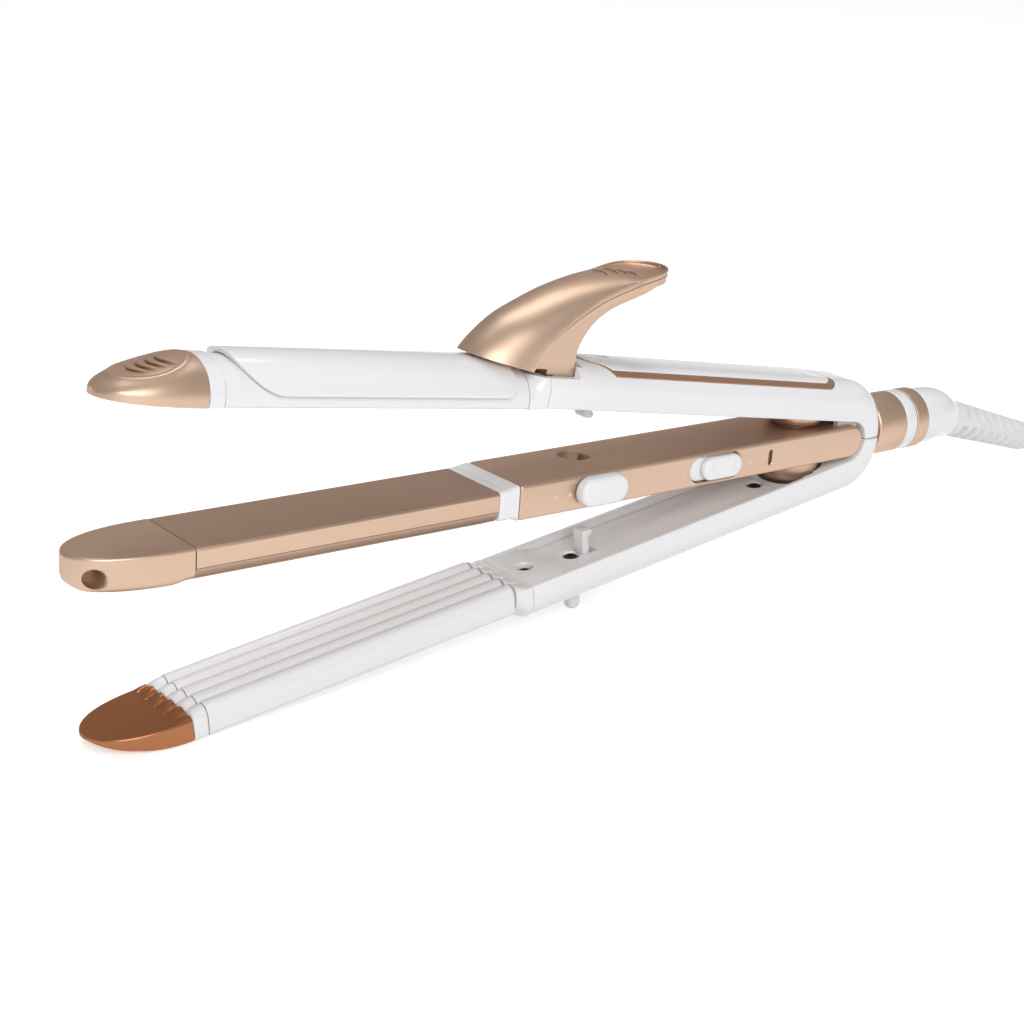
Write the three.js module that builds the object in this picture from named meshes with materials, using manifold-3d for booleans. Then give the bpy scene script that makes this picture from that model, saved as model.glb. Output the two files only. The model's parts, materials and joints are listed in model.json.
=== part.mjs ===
// Three-in-one hair styler: a curling tong, a straightener and a crimper on one hinge.
//
// Each arm is modelled closed, in its own frame: the hinge axis is the origin, -X runs to
// the tips, +Z is up and -Y is the side with the switches. The groups at the end then open
// the arms and stand the styler on its lower tip and on the knob under its lower handle.

import * as THREE from 'three';
import { mergeVertices } from 'three/addons/utils/BufferGeometryUtils.js';
import Module from 'manifold-3d';

const wasm = await Module();
wasm.setup();

// ---------------------------------------------------------------- driving dimensions (mm)
const GAP = 0.3; // clearance between pieces that seat in one another
const LOWER_OPEN_DEG = 8.4; // how far the lower arm stands open from the middle arm
const UPPER_OPEN_DEG = 8.4; // and the upper arm on the other side

const ARM_WIDTH = 24; // across the handles
const PLATE_WIDTH = 24.4; // across the heated sections
const PLATE_LENGTH = 92;
const TIP_LENGTH = 28;
const HANG_HOLE_RADIUS = 2;
const HANG_HOLE_SHARE = 0.854; // how far along the tip its hole stands
const HANG_HOLE_Z = -1.3;
const HANDLE_FRONT = -129.5; // hinge axis to the front end of the handles
const COLLAR_LENGTH = 7;

const MIDDLE_THICK = 10; // middle handle, top to bottom
const MIDDLE_EDGE = 1; // its edge radius
const PLATE_TOP = 4.2; // middle plate's face above the hinge line
const PLATE_FOLD = -1.2; // where the two plates meet on the side
const PLATE_BOTTOM = -4.1; // foot of the lower plate's chamfer
const PLATE_CHAMFER = 1.7;
const PLATE_EDGE = 1.1;
const SHEET = 1.2; // wall of the folded plates

const RIM = 6.3; // hinge line to the mating rims of the outer handles
const LOWER_DEPTH = 11; // lower handle, rim to crown
const UPPER_DEPTH = 11.8;
const UPPER_LIFT = 1.2; // the rims stand off this much more at the collars
const LOWER_LIFT = 0.6;
const SIDE_FLAT = 0.42; // share of a handle's depth that is a straight side
const CROWN_WIDTH = 14; // width over which a handle rounds off
const WALL_AT_SEAM = 9.2; // handle wall behind the hinge
const FLOOR_DEPTH = 2.6; // recess inside the handle rims
const RIM_WIDTH = 1.8;
const COVER_THICK = 2;
const COVER_STEP = -113; // where the inner cover drops to the recessed floor
const COVER_END = -27;

const PIN_RADIUS = 1.5;
const LUG_RADIUS = 4.2;
const LUG_WIDTH = 2;
const LUG_SLOT_FRONT = -5.2;
const CORE_HALF = 4.3; // middle housing's core between the lugs

const BOSS_X = -14; // spring cups beside the hinge
const BOSS_RADIUS = 9.1;
const BOSS_FOOT = 5.9; // foot of the upper cup, which flares above it
const BOSS_BORE = 6.2;
const BOSS_REACH = 12.8; // hinge line to the mouth of a cup
const POCKET_DEPTH = 13.8;
const SPRING_RADIUS = 4.8;

const RIDGES = 5; // crimping ridges
const RIDGE_PITCH = 4.75;
const RIDGE_HEIGHT = 1.9;
const CRIMP_CREST = -4.75; // crest of the lower plate's ridges
const CRIMP_SHOULDER = -6.9;
const CRIMP_BOTTOM = -13.6;
const CRIMP_CORNER = 2; // radius of the crimping head's lower corners
const CRIMP_GAP = 0.8; // between the two corrugated faces when closed

const DROOP_DEG = 1.2; // the barrel leans down so that the plates meet at the tip first
const BARREL_Z = 6.7; // foot of the barrel section at the collar
const SLAB_THICK = 1.7; // flat plate under the barrel
const BARREL_HEIGHT = 10.7;
const BARREL_HALF = 11;
const BARREL_SKIRT = 1.1; // the barrel's sides reach down past the flat plate
const SKIRT_FOOT = 0.25;
const CLAMP_WALL = 1.4;
const CLAMP_EDGE = 3.6; // clamp's lower edge above the flat plate's face
const RING_LENGTH = 4.5;

const LATCH_X = -96.7; // hooks that lock the arms shut
const LATCH_TRAVEL = 2;
const LOWER_LATCH_Y = 0;
const UPPER_LATCH_Y = 3.8;
const HOOK_WIDTH = 4.4;
const HOOK_THICK = 2.2;
const HOOK_LIP = 1.3;
const LATCH_HOLE_RADIUS = 4.6;
const KNOB_DROP = 24.9; // hinge line to the end of the lower latch's knob
const KNOB_AHEAD = 5.3; // the knob stands this far in front of its hook
const KNOB_LENGTH = 4.6;
const KNOB_WIDTH = 4.9;
const SHOE_THICK = 1.3; // plate under the handle that joins the knob to the hook

const SLEEVE_RADIUS = 9.6;
const SLEEVE_FRONT = 16;
const SLEEVE_END = 28.4;
const SPACER_END = 33.2;
const SWIVEL_RING_END = 38.9;
const NECK_RADIUS = 6;
const SPIGOT_RADIUS = 4;
const ELBOW_X = 49.6; // where the cord outlet bends
const ELBOW_DEG = 16;
const RELIEF_START = 15.5; // from the bend, along the outlet
const RELIEF_LENGTH = 37;
const RELIEF_RADIUS = 6.2;
const RELIEF_END_RADIUS = 4.8;
const RELIEF_BORE = 3;
const RELIEF_WINDOWS = 7;

const TEMPERATURE_X = -102; // raised slider on the near side
const TEMPERATURE_LENGTH = 17;
const TEMPERATURE_HEIGHT = 8.5;
const TEMPERATURE_TRAVEL = 6;
const TEMPERATURE_PROUD = 3.8;
const POWER_X = -57; // slider in a long recess
const POWER_LENGTH = 20;
const POWER_HEIGHT = 7.6;
const POWER_TRAVEL = 4;
const LAMP_X = -34.8;

const LEVER_PIVOT_X = -117.5;
const LEVER_PIVOT_Z = 12.5;

// ---------------------------------------------------------------- derived sizes
const DROOP = THREE.MathUtils.degToRad(DROOP_DEG);
const HALF_W = ARM_WIDTH / 2;
const HALF_P = PLATE_WIDTH / 2;
const HALF_T = MIDDLE_THICK / 2;
const COLLAR_FRONT = HANDLE_FRONT - COLLAR_LENGTH;
const PLATE_REAR = COLLAR_FRONT - GAP;
const PLATE_FRONT = PLATE_REAR - PLATE_LENGTH;
const TIP_REAR = PLATE_FRONT - GAP;
const TIP_END = TIP_REAR - TIP_LENGTH;
const OUTER_FRONT = HANDLE_FRONT + 4.7; // the outer handles start a little further back
const OUTER_COLLAR = OUTER_FRONT - COLLAR_LENGTH + 1;
const FLOOR = RIM + FLOOR_DEPTH;
const RECESS_HALF = HALF_W - RIM_WIDTH;
const LUG_INNER = CORE_HALF + GAP;
const LUG_OUTER = LUG_INNER + LUG_WIDTH + GAP;
const SLOT_HALF = LUG_OUTER + LUG_WIDTH + GAP;

// ---------------------------------------------------------------- solid helpers
function solid(geometry) {
  const bare = geometry.index ? geometry.toNonIndexed() : geometry.clone();
  bare.deleteAttribute('normal');
  bare.deleteAttribute('uv');
  const merged = mergeVertices(bare, 1e-4);
  return new wasm.Manifold(new wasm.Mesh({
    numProp: 3,
    vertProperties: new Float32Array(merged.attributes.position.array),
    triVerts: new Uint32Array(merged.index.array),
  }));
}

function toGeometry(manifold) {
  const mesh = manifold.getMesh();
  const geometry = new THREE.BufferGeometry();
  geometry.setAttribute('position', new THREE.BufferAttribute(mesh.vertProperties, 3));
  geometry.setIndex(new THREE.BufferAttribute(mesh.triVerts, 1));
  return geometry;
}

const join = (...parts) => parts.reduce((sum, part) => sum.add(part));
const cut = (body, ...tools) => tools.reduce((rest, tool) => rest.subtract(tool), body);

function moved(geometry, x, y, z) {
  return solid(geometry.translate(x, y, z));
}

function box(x0, x1, y0, y1, z0, z1) {
  const geometry = new THREE.BoxGeometry(x1 - x0, y1 - y0, z1 - z0);
  return moved(geometry, (x0 + x1) / 2, (y0 + y1) / 2, (z0 + z1) / 2);
}

// A round bar of radius r from a to b along one axis, centred on the other two coordinates.
function bar(axis, r, a, b, u = 0, v = 0, sides = 24, endRadius = r) {
  const geometry = new THREE.CylinderGeometry(endRadius, r, b - a, sides);
  if (axis === 'x') return moved(geometry.rotateZ(-Math.PI / 2), (a + b) / 2, u, v);
  if (axis === 'z') return moved(geometry.rotateX(Math.PI / 2), u, v, (a + b) / 2);
  return moved(geometry, u, (a + b) / 2, v);
}

// An outline in the plane square to an axis, pulled from a to b along that axis. The outline
// is in XZ for y, in XY for z and in YZ for x. A bevel rounds the edges at both ends.
function pull(axis, outline, a, b, bevel = 0) {
  const shape = new THREE.Shape(outline.map(([u, v]) => new THREE.Vector2(u, v)));
  const geometry = new THREE.ExtrudeGeometry(shape, {
    depth: b - a - 2 * bevel,
    bevelEnabled: bevel > 0,
    bevelThickness: bevel,
    bevelSize: bevel,
    bevelOffset: -bevel,
    bevelSegments: 2,
  });
  geometry.translate(0, 0, a + bevel);
  const turn = new THREE.Matrix4();
  if (axis === 'x') turn.set(0, 0, 1, 0, 1, 0, 0, 0, 0, 1, 0, 0, 0, 0, 0, 1);
  if (axis === 'y') turn.set(1, 0, 0, 0, 0, 0, -1, 0, 0, 1, 0, 0, 0, 0, 0, 1);
  geometry.applyMatrix4(turn);
  if (axis === 'y') geometry.translate(0, a + b, 0);
  return solid(geometry);
}

// A solid through rings of equal point counts, closed by flat ends.
function loft(rings) {
  const count = rings[0].length;
  const position = rings.flat().flatMap((p) => [p.x, p.y, p.z]);
  const index = [];
  for (let i = 0; i < rings.length - 1; i += 1) {
    for (let j = 0; j < count; j += 1) {
      const a = i * count + j;
      const b = i * count + ((j + 1) % count);
      index.push(a, b, a + count, b, b + count, a + count);
    }
  }
  const last = (rings.length - 1) * count;
  for (const [ring, start, flip] of [[rings[0], 0, true], [rings.at(-1), last, false]]) {
    for (const [i, j, k] of THREE.ShapeUtils.triangulateShape(flatten(ring), [])) {
      index.push(start + i, start + (flip ? k : j), start + (flip ? j : k));
    }
  }
  const geometry = new THREE.BufferGeometry();
  geometry.setAttribute('position', new THREE.Float32BufferAttribute(position, 3));
  geometry.setIndex(index);
  return solid(volume(geometry) < 0 ? flipped(geometry) : geometry);
}

// A flat ring's points in its own plane.
function flatten(ring) {
  const normal = new THREE.Vector3();
  for (let i = 0; i < ring.length; i += 1) {
    normal.add(new THREE.Vector3().crossVectors(ring[i], ring[(i + 1) % ring.length]));
  }
  normal.normalize();
  const u = new THREE.Vector3(0, 1, 0);
  const v = new THREE.Vector3().crossVectors(normal, u).normalize();
  return ring.map((p) => new THREE.Vector2(p.dot(u), p.dot(v)));
}

function volume(geometry) {
  const [p, index] = [geometry.attributes.position, geometry.index];
  const corner = (i) => new THREE.Vector3().fromBufferAttribute(p, index.getX(i));
  let sum = 0;
  for (let i = 0; i < index.count; i += 3) {
    sum += corner(i).dot(corner(i + 1).cross(corner(i + 2)));
  }
  return sum / 6;
}

function flipped(geometry) {
  const turned = geometry.clone();
  const index = turned.index;
  for (let i = 0; i < index.count; i += 3) {
    const second = index.getX(i + 1);
    index.setX(i + 1, index.getX(i + 2));
    index.setX(i + 2, second);
  }
  return turned;
}

const range = (count, fn) => Array.from({ length: count }, (_, i) => fn(i));
const mix = (a, b, t) => a + (b - a) * t;
const point = (x, y, z) => new THREE.Vector3(x, y, z);

// Points of an arc about (cx, cy), from angle a to angle b in degrees.
function arc(cx, cy, rx, ry, a, b, steps) {
  return range(steps + 1, (i) => {
    const t = THREE.MathUtils.degToRad(mix(a, b, i / steps));
    return [cx + rx * Math.cos(t), cy + ry * Math.sin(t)];
  });
}

// A slot outline: two half rounds joined by straight sides, long in the first coordinate.
function slot(cx, cy, length, height, steps = 6) {
  const r = height / 2;
  const reach = length / 2 - r;
  return [...arc(cx + reach, cy, r, r, -90, 90, steps),
    ...arc(cx - reach, cy, r, r, 90, 270, steps)];
}

// ---------------------------------------------------------------- outer handles
const openDeg = (up) => (up > 0 ? UPPER_OPEN_DEG : LOWER_OPEN_DEG);
const openAngle = (up) => THREE.MathUtils.degToRad(openDeg(up));

// A handle's section: flat on its mating side, straight up its sides, then a round crown.
// w is half its width, depth its height away from the mating rim, inset shrinks it.
function handleSection(w, depth, inset = 0) {
  return dome(w, depth, depth * SIDE_FLAT, CROWN_WIDTH / 2, inset);
}

function dome(w, depth, side, round, inset = 0, steps = 7) {
  const [a, b] = [round - inset, depth - side - inset];
  return [[w - inset, 0], ...arc(w - round, side, a, b, 0, 90, steps),
    ...arc(round - w, side, a, b, 90, 180, steps), [inset - w, 0]];
}

// The shell runs straight along the rim and then bends round the hinge to the seam, where
// the two outer handles meet while they stand open. up is 1 for the upper one, else -1.
function handleShell(up, depth, lift, inset = 0, front = OUTER_FRONT) {
  const rings = [];
  const place = (x, rim, nx, nz, deep) => rings.push(
    handleSection(HALF_W, deep, inset).map(([y, d]) => point(
      x + nx * d,
      y,
      up * (rim + nz * d),
    )),
  );
  for (const t of [0, 0.25, 0.5, 0.75, 1]) {
    place(front * (1 - t), RIM + lift * (1 - t), 0, 1, depth);
  }
  const seam = Math.PI / 2 - openAngle(up) - GAP / 2 / RIM;
  for (let i = 1; i <= 7; i += 1) {
    const a = (seam * i) / 7;
    const deep = mix(depth, WALL_AT_SEAM, Math.sin(a) ** 2);
    place(RIM * Math.sin(a), RIM * Math.cos(a), Math.sin(a), Math.cos(a), deep);
  }
  return loft(rings);
}

// Room for the neck of the middle arm while the arm swings from open to closed.
function neckRoom(up) {
  const bore = bar('x', NECK_RADIUS + 3 * GAP, 4, 30, 0, 0, 24);
  const turned = range(3, (i) => bore.rotate([0, (up * openDeg(up) * i) / 2 * -1, 0]));
  return join(...turned);
}

// Pocket that the middle arm's spring cup sinks into as the arm closes.
function cupPocket(up) {
  const clearance = 2 * GAP;
  const swing = BOSS_REACH * Math.sin(openAngle(up));
  const outline = slot(
    BOSS_X - swing / 2,
    0,
    2 * (BOSS_RADIUS + clearance) + swing,
    2 * (BOSS_RADIUS + clearance),
    10,
  );
  const [near, far] = up > 0 ? [RIM - 1, POCKET_DEPTH] : [-POCKET_DEPTH, 1 - RIM];
  return pull('z', outline, near, far);
}

// Hinge lugs: a pair of plates that reach from the handle to the pin.
function lugs(up, inner) {
  const outline = [...arc(0, 0, LUG_RADIUS, LUG_RADIUS, up > 0 ? 180 : 0, up > 0 ? 360 : 180, 10),
    [up * LUG_RADIUS, up * (FLOOR + 1)], [-up * LUG_RADIUS, up * (FLOOR + 1)]];
  return [-1, 1].map((side) => {
    const edges = [side * inner, side * (inner + LUG_WIDTH)].sort((p, q) => p - q);
    return pull('y', outline, ...edges);
  });
}

const pinBore = bar('y', PIN_RADIUS + GAP, -HALF_W + 0.8, HALF_W - 0.8, 0, 0, 16);

const LOWER_HOOK_END = 1.9; // hinge line to the end of each hook
const UPPER_HOOK_END = 1.9;
const HOOK_HOLE = 0.8; // floor of the holes that the hooks enter

// ---------------------------------------------------------------- the middle arm
function middleHousing() {
  const outline = [[HANDLE_FRONT, -HALF_T], ...arc(0, 0, HALF_T, HALF_T, -90, 90, 12),
    [HANDLE_FRONT, HALF_T]];
  const body = pull('y', outline, -HALF_W, HALF_W, MIDDLE_EDGE);
  const lugRoom = [-1, 1].map((side) => {
    const edges = [side * CORE_HALF, side * SLOT_HALF].sort((p, q) => p - q);
    return box(LUG_SLOT_FRONT, HALF_T + 1, ...edges, -HALF_T - 1, HALF_T + 1);
  });
  const neck = join(
    bar('x', NECK_RADIUS, LUG_RADIUS + 1.3, SLEEVE_FRONT - GAP, 0, 0, 24),
    box(0, LUG_RADIUS + 3, -CORE_HALF, CORE_HALF, -CORE_HALF, CORE_HALF),
    bar('x', SPIGOT_RADIUS, SLEEVE_FRONT - 1, SLEEVE_FRONT + 5, 0, 0, 20),
  );
  const hookHoles = [[HOOK_HOLE, HALF_T + 1, UPPER_LATCH_Y], [-HALF_T - 1, -HOOK_HOLE, LOWER_LATCH_Y]]
    .map(([a, b, y]) => bar('z', LATCH_HOLE_RADIUS, a, b, LATCH_X - 1.6, y, 28));
  const catches = [[HOOK_HOLE, 4, UPPER_LATCH_Y], [-4, -HOOK_HOLE, LOWER_LATCH_Y]]
    .map(([a, b, y]) => box(LATCH_X, LATCH_X + HOOK_LIP + LATCH_TRAVEL + 2 * GAP,
      y - HOOK_WIDTH / 2 - GAP, y + HOOK_WIDTH / 2 + GAP, a, b));
  const cupSeats = [[BOSS_FOOT, HALF_T - 1, HALF_T + 1], [BOSS_RADIUS, -HALF_T - 1, 1 - HALF_T]]
    .map(([r, a, b]) => bar('z', r + GAP, a, b, BOSS_X, 0, 32));
  const springSeats = [[1.2, HALF_T], [-HALF_T, -1.2]]
    .map(([a, b]) => bar('z', SPRING_RADIUS + GAP, a, b, BOSS_X, 0, 20));
  const face = -HALF_W;
  const reach = TEMPERATURE_TRAVEL + 4;
  const sliderSlot = pull(
    'y',
    slot(TEMPERATURE_X, 0, reach + 2 * GAP, 3 + 2 * GAP, 4),
    face - 1,
    face + 4,
  );
  const powerRecess = pull('y', slot(POWER_X, 0, POWER_LENGTH, POWER_HEIGHT), face - 1, face + 2);
  const lampSlot = pull('y', slot(0, 0, 4.6, 1.6, 4).map(([u, v]) => [LAMP_X + v, u]),
    face - 1, face + 1.4);
  return cut(join(cut(body, ...lugRoom), neck), ...hookHoles, ...catches, ...cupSeats, ...springSeats,
    sliderSlot, powerRecess, lampSlot, pinBore);
}

// The collar steps from the plates' section to the handle's.
function middleCollar() {
  const ring = (x, w, top, bottom, r) => roundedRing(x, w, bottom, top, r);
  return loft([
    ring(COLLAR_FRONT, HALF_P - 0.1, PLATE_TOP + 0.1, PLATE_BOTTOM, PLATE_EDGE),
    ring(COLLAR_FRONT + 2.5, HALF_P - 0.1, PLATE_TOP + 0.2, PLATE_BOTTOM, PLATE_EDGE),
    ring(HANDLE_FRONT - 1.6, HALF_W, HALF_T, PLATE_BOTTOM, MIDDLE_EDGE),
    ring(HANDLE_FRONT - GAP, HALF_W, HALF_T, -HALF_T, MIDDLE_EDGE),
  ]);
}

// A rectangle with round corners, square to X: radius r above and foot below.
function roundedRing(x, w, z0, z1, r, steps = 3, foot = r) {
  return [...arc(w - r, z1 - r, r, r, 0, 90, steps), ...arc(r - w, z1 - r, r, r, 90, 180, steps),
    ...arc(foot - w, z0 + foot, foot, foot, 180, 270, steps),
    ...arc(w - foot, z0 + foot, foot, foot, 270, 360, steps)].map(([y, z]) => point(x, y, z));
}

// The upper plate is a sheet folded down over both sides of the heater.
function straighteningPlate() {
  const outer = [[HALF_P, PLATE_FOLD], ...arc(HALF_P - PLATE_EDGE, PLATE_TOP - PLATE_EDGE,
    PLATE_EDGE, PLATE_EDGE, 0, 90, 4), ...arc(PLATE_EDGE - HALF_P, PLATE_TOP - PLATE_EDGE,
    PLATE_EDGE, PLATE_EDGE, 90, 180, 4), [-HALF_P, PLATE_FOLD]];
  const inner = [[SHEET - HALF_P, PLATE_FOLD], [SHEET - HALF_P, PLATE_TOP - SHEET],
    [HALF_P - SHEET, PLATE_TOP - SHEET], [HALF_P - SHEET, PLATE_FOLD]];
  return pull('x', [...outer, ...inner], PLATE_FRONT, PLATE_REAR);
}

// Depth of a corrugated face below its crests, at y: round ridges with narrow valleys.
function ridge(y) {
  const phase = Math.abs(((y / RIDGE_PITCH + 0.5) % 1 + 1) % 1 - 0.5) * 2;
  const round = (t) => 1 - Math.sqrt(1 - (0.95 * t) ** 2);
  return (RIDGE_HEIGHT * round(phase)) / round(1);
}

const RIDGE_EDGE = (RIDGES * RIDGE_PITCH) / 2;
const RIDGE_STEPS = RIDGES * 8;
const ridgeY = range(RIDGE_STEPS + 1, (i) => mix(-RIDGE_EDGE, RIDGE_EDGE, i / RIDGE_STEPS));

// Under the middle arm the corrugation is the mate of the lower arm's, held off by a gap.
function middleCrimpPlate() {
  const top = PLATE_FOLD - GAP;
  const wave = ridgeY.filter((y) => Math.abs(y) < HALF_P - PLATE_CHAMFER - 0.1)
    .map((y) => [y, CRIMP_CREST + CRIMP_GAP - ridge(y)]);
  const outline = [[-HALF_P, top], [-HALF_P, top - 0.6],
    [PLATE_CHAMFER - HALF_P, PLATE_BOTTOM], ...wave, [HALF_P - PLATE_CHAMFER, PLATE_BOTTOM],
    [HALF_P, top - 0.6], [HALF_P, top]];
  return pull('x', outline, PLATE_FRONT, PLATE_REAR);
}

function middleHeater() {
  return box(PLATE_FRONT + 4, PLATE_REAR - 4, SHEET + GAP - HALF_P, HALF_P - SHEET - GAP,
    PLATE_FOLD, PLATE_TOP - SHEET - GAP);
}

const TIP_BELLY = 0.9; // the middle tip hangs this far below the plate's chamfer

// Rounded plan of a tip, as half its width at share t of its length.
const tipHalf = (t, w, power) => w * Math.sqrt(Math.max(0, 1 - t ** power));

function middleTip() {
  const steps = 10;
  const rings = range(steps + 1, (i) => {
    const t = 1 - (1 - i / steps) ** 1.7;
    const x = TIP_REAR - t * TIP_LENGTH;
    const w = Math.max(tipHalf(t, HALF_P, 2.5), 1.2);
    const top = PLATE_TOP - 0.3 * t ** 3;
    const bottom = PLATE_BOTTOM - TIP_BELLY * Math.min(1, t / 0.2);
    return roundedRing(x, w, bottom, top, Math.min(1, w * 0.6), 3, Math.min(2.4, w * 0.8));
  });
  const holeX = TIP_REAR - HANG_HOLE_SHARE * TIP_LENGTH;
  const hangHole = bar('y', HANG_HOLE_RADIUS, -HALF_W, HALF_W, holeX, HANG_HOLE_Z, 18);
  return cut(loft(rings), hangHole);
}

// A cup that guides and covers the opening spring beside the hinge. Both of them hang like
// bowls: the upper one flares upwards from a narrow foot, the lower one closes in downwards.
function springCup(up) {
  const [near, far] = [HALF_T - 1 + GAP, BOSS_REACH];
  const throat = SPRING_RADIUS + GAP;
  const flare = arc(BOSS_FOOT, HALF_T + 3.6, BOSS_RADIUS - BOSS_FOOT, 3.3, -90, 0, 3);
  const bowl = arc(BOSS_RADIUS - 2.4, far - 5.2, 2.4, 5.2, 0, 75, 3);
  const profile = up > 0
    ? [[throat, near], [BOSS_FOOT, near], ...flare, [BOSS_RADIUS, far - 0.8],
      [BOSS_RADIUS - 0.8, far], [BOSS_BORE, far], [BOSS_BORE, HALF_T + 3.4],
      [throat, HALF_T + 1.8], [throat, near]]
    : [[BOSS_BORE, near], [BOSS_RADIUS, near], ...bowl, [BOSS_BORE, far], [BOSS_BORE, near]];
  const geometry = new THREE.LatheGeometry(
    profile.map(([r, z]) => new THREE.Vector2(r, z)),
    28,
  );
  geometry.rotateX(Math.PI / 2);
  const cup = solid(volumeFixed(geometry));
  const placed = up > 0 ? cup : cup.rotate([180, 0, 0]);
  return placed.translate([BOSS_X, 0, 0]);
}

function volumeFixed(geometry) {
  const bare = geometry.clone();
  bare.deleteAttribute('normal');
  bare.deleteAttribute('uv');
  const merged = mergeVertices(bare, 1e-4);
  return volume(merged) < 0 ? flipped(merged) : merged;
}

// A revolved solid along X, from pairs of distance along X and radius.
function turned(profile, sides = 32) {
  const geometry = new THREE.LatheGeometry(
    profile.map(([x, r]) => new THREE.Vector2(r, x)),
    sides,
  );
  return solid(volumeFixed(geometry.rotateZ(-Math.PI / 2)));
}

// The opening spring, drawn at the height it has inside its cup when the arms are shut.
function openingSpring(up) {
  const wire = SPRING_RADIUS - 0.8;
  const [a, b] = [1.2 + GAP, BOSS_REACH - 0.5];
  const tube = cut(bar('z', SPRING_RADIUS, a, b, BOSS_X, 0, 20), bar('z', wire, 0, b + 1, BOSS_X, 0));
  return up > 0 ? tube : tube.mirror([0, 0, 1]);
}

function rearSleeve() {
  const bore = SPIGOT_RADIUS + GAP;
  const [a, b, r] = [SLEEVE_FRONT, SLEEVE_END, SLEEVE_RADIUS];
  return turned([[a, bore], [a, r - 0.8], [a + 0.8, r], [b - 0.3, r], [b, r - 0.3], [b, bore],
    [a, bore]]);
}

function swivelWasher(a, b) {
  const bore = SPIGOT_RADIUS + GAP;
  const r = SLEEVE_RADIUS;
  return turned([[a, bore], [a, r - 0.3], [a + 0.3, r], [b - 0.3, r], [b, r - 0.3], [b, bore],
    [a, bore]]);
}

// ---------------------------------------------------------------- the swivelling cord outlet
function swivelElbow() {
  const face = SWIVEL_RING_END + GAP;
  const dome = [[face, 0], [face, 8.4], [face + 4, 8.8], [face + 8, 8.3], [face + 12, 7.4]];
  const rounded = range(6, (i) => {
    const a = ((i + 1) / 6) * Math.PI / 2;
    return [face + 12 + 7.4 * Math.sin(a), i === 5 ? 0 : 7.4 * Math.cos(a)];
  });
  const spigot = bar('x', SPIGOT_RADIUS - GAP, SLEEVE_FRONT + 6, face + 2, 0, 0, 20);
  const outlet = bar('x', 7.2, -2, RELIEF_START - GAP, 0, 0, 28, RELIEF_RADIUS + 0.2)
    .rotate([0, ELBOW_DEG, 0]).translate([ELBOW_X, 0, 0]);
  const tenon = bar('x', 4.2, 0, RELIEF_START + 4, 0, 0, 20)
    .rotate([0, ELBOW_DEG, 0]).translate([ELBOW_X, 0, 0]);
  return join(turned([...dome, ...rounded], 28), spigot, outlet, tenon);
}

// Flexible sleeve with rows of windows between its rings, so that it bends with the cord.
function strainRelief() {
  const [a, b] = [RELIEF_START, RELIEF_START + RELIEF_LENGTH];
  const body = turned([[a, 4.5], [a, RELIEF_RADIUS], [b - 0.6, RELIEF_END_RADIUS],
    [b, RELIEF_END_RADIUS - 0.6], [b, RELIEF_BORE], [a + 5, RELIEF_BORE], [a + 5, 4.5],
    [a, 4.5]], 24);
  const pitch = (RELIEF_LENGTH - 5) / RELIEF_WINDOWS;
  const windows = range(RELIEF_WINDOWS, (i) => {
    const x = a + 3 + pitch * (i + 0.5);
    const r = mix(RELIEF_RADIUS, RELIEF_END_RADIUS, (x - a) / RELIEF_LENGTH);
    const across = r * 0.95;
    const piece = box(x - pitch * 0.27, x + pitch * 0.27, -across / 2, across / 2, r - 1.4, r + 2);
    return range(4, (k) => piece.rotate([45 + 90 * k, 0, 0]));
  }).flat();
  return cut(body, ...windows).rotate([0, ELBOW_DEG, 0]).translate([ELBOW_X, 0, 0]);
}

// ---------------------------------------------------------------- switches on the middle arm
function temperatureSlider() {
  const x = TEMPERATURE_X;
  const back = -HALF_W - GAP;
  const knob = pull('y', slot(x, 0.5, TEMPERATURE_LENGTH, TEMPERATURE_HEIGHT, 8),
    -HALF_W - TEMPERATURE_PROUD, back, 0.9);
  const stem = pull('y', slot(x + TEMPERATURE_TRAVEL / 2, 0, 4, 3, 4), -HALF_W - 1, -HALF_W + 3.4);
  return join(knob, stem);
}

function powerBed() {
  const bed = slot(POWER_X, 0, POWER_LENGTH - 2 * GAP, POWER_HEIGHT - 2 * GAP);
  return pull('y', bed, -HALF_W + 0.9, -HALF_W + 2 - GAP);
}

function powerSlider() {
  const length = POWER_LENGTH - POWER_TRAVEL - 2 * GAP;
  const x = POWER_X + POWER_TRAVEL / 2;
  return pull('y', slot(x, 0, length, POWER_HEIGHT - 2 * GAP), -HALF_W - 1.2, -HALF_W + 0.6, 0.5);
}

function indicatorLamp() {
  const outline = slot(0, 0, 4, 1, 4).map(([u, v]) => [LAMP_X + v, u]);
  return pull('y', outline, -HALF_W + 0.4, -HALF_W + 1.1);
}

// ---------------------------------------------------------------- latches
// A hook on a post that slides in its handle, its lip towards the hinge. It is built with z
// running out of the arm: end is the hook's tip and flange the plate that keeps it in.
function latch(up, y, end, flange, finger) {
  const x = LATCH_X;
  const half = HOOK_WIDTH / 2;
  const hook = pull('y', [[x - HOOK_THICK - 0.3, flange], [x - HOOK_THICK, end + 0.4],
    [x - HOOK_THICK + 0.4, end], [x + HOOK_LIP - 0.4, end], [x + HOOK_LIP, end + 0.4],
    [x + HOOK_LIP, end + 1.7], [x - 0.4, end + 2.3], [x, flange]], y - half, y + half);
  const plate = box(x - 3, x + 3.4, y - half - 0.8, y + half + 0.8, flange - 0.1, flange + 1.2);
  const whole = join(hook, plate, finger);
  return up > 0 ? whole : whole.mirror([0, 0, 1]);
}

// Slot that a latch's post slides in, from depth a to depth b.
function latchSlot(up, y, a, b, front = LATCH_X - HOOK_THICK - 0.6, half = HOOK_WIDTH / 2 + GAP) {
  const tool = box(front, LATCH_X + LATCH_TRAVEL + GAP + 0.4, y - half, y + half, a, b);
  return up > 0 ? tool : tool.mirror([0, 0, 1]);
}

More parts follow.
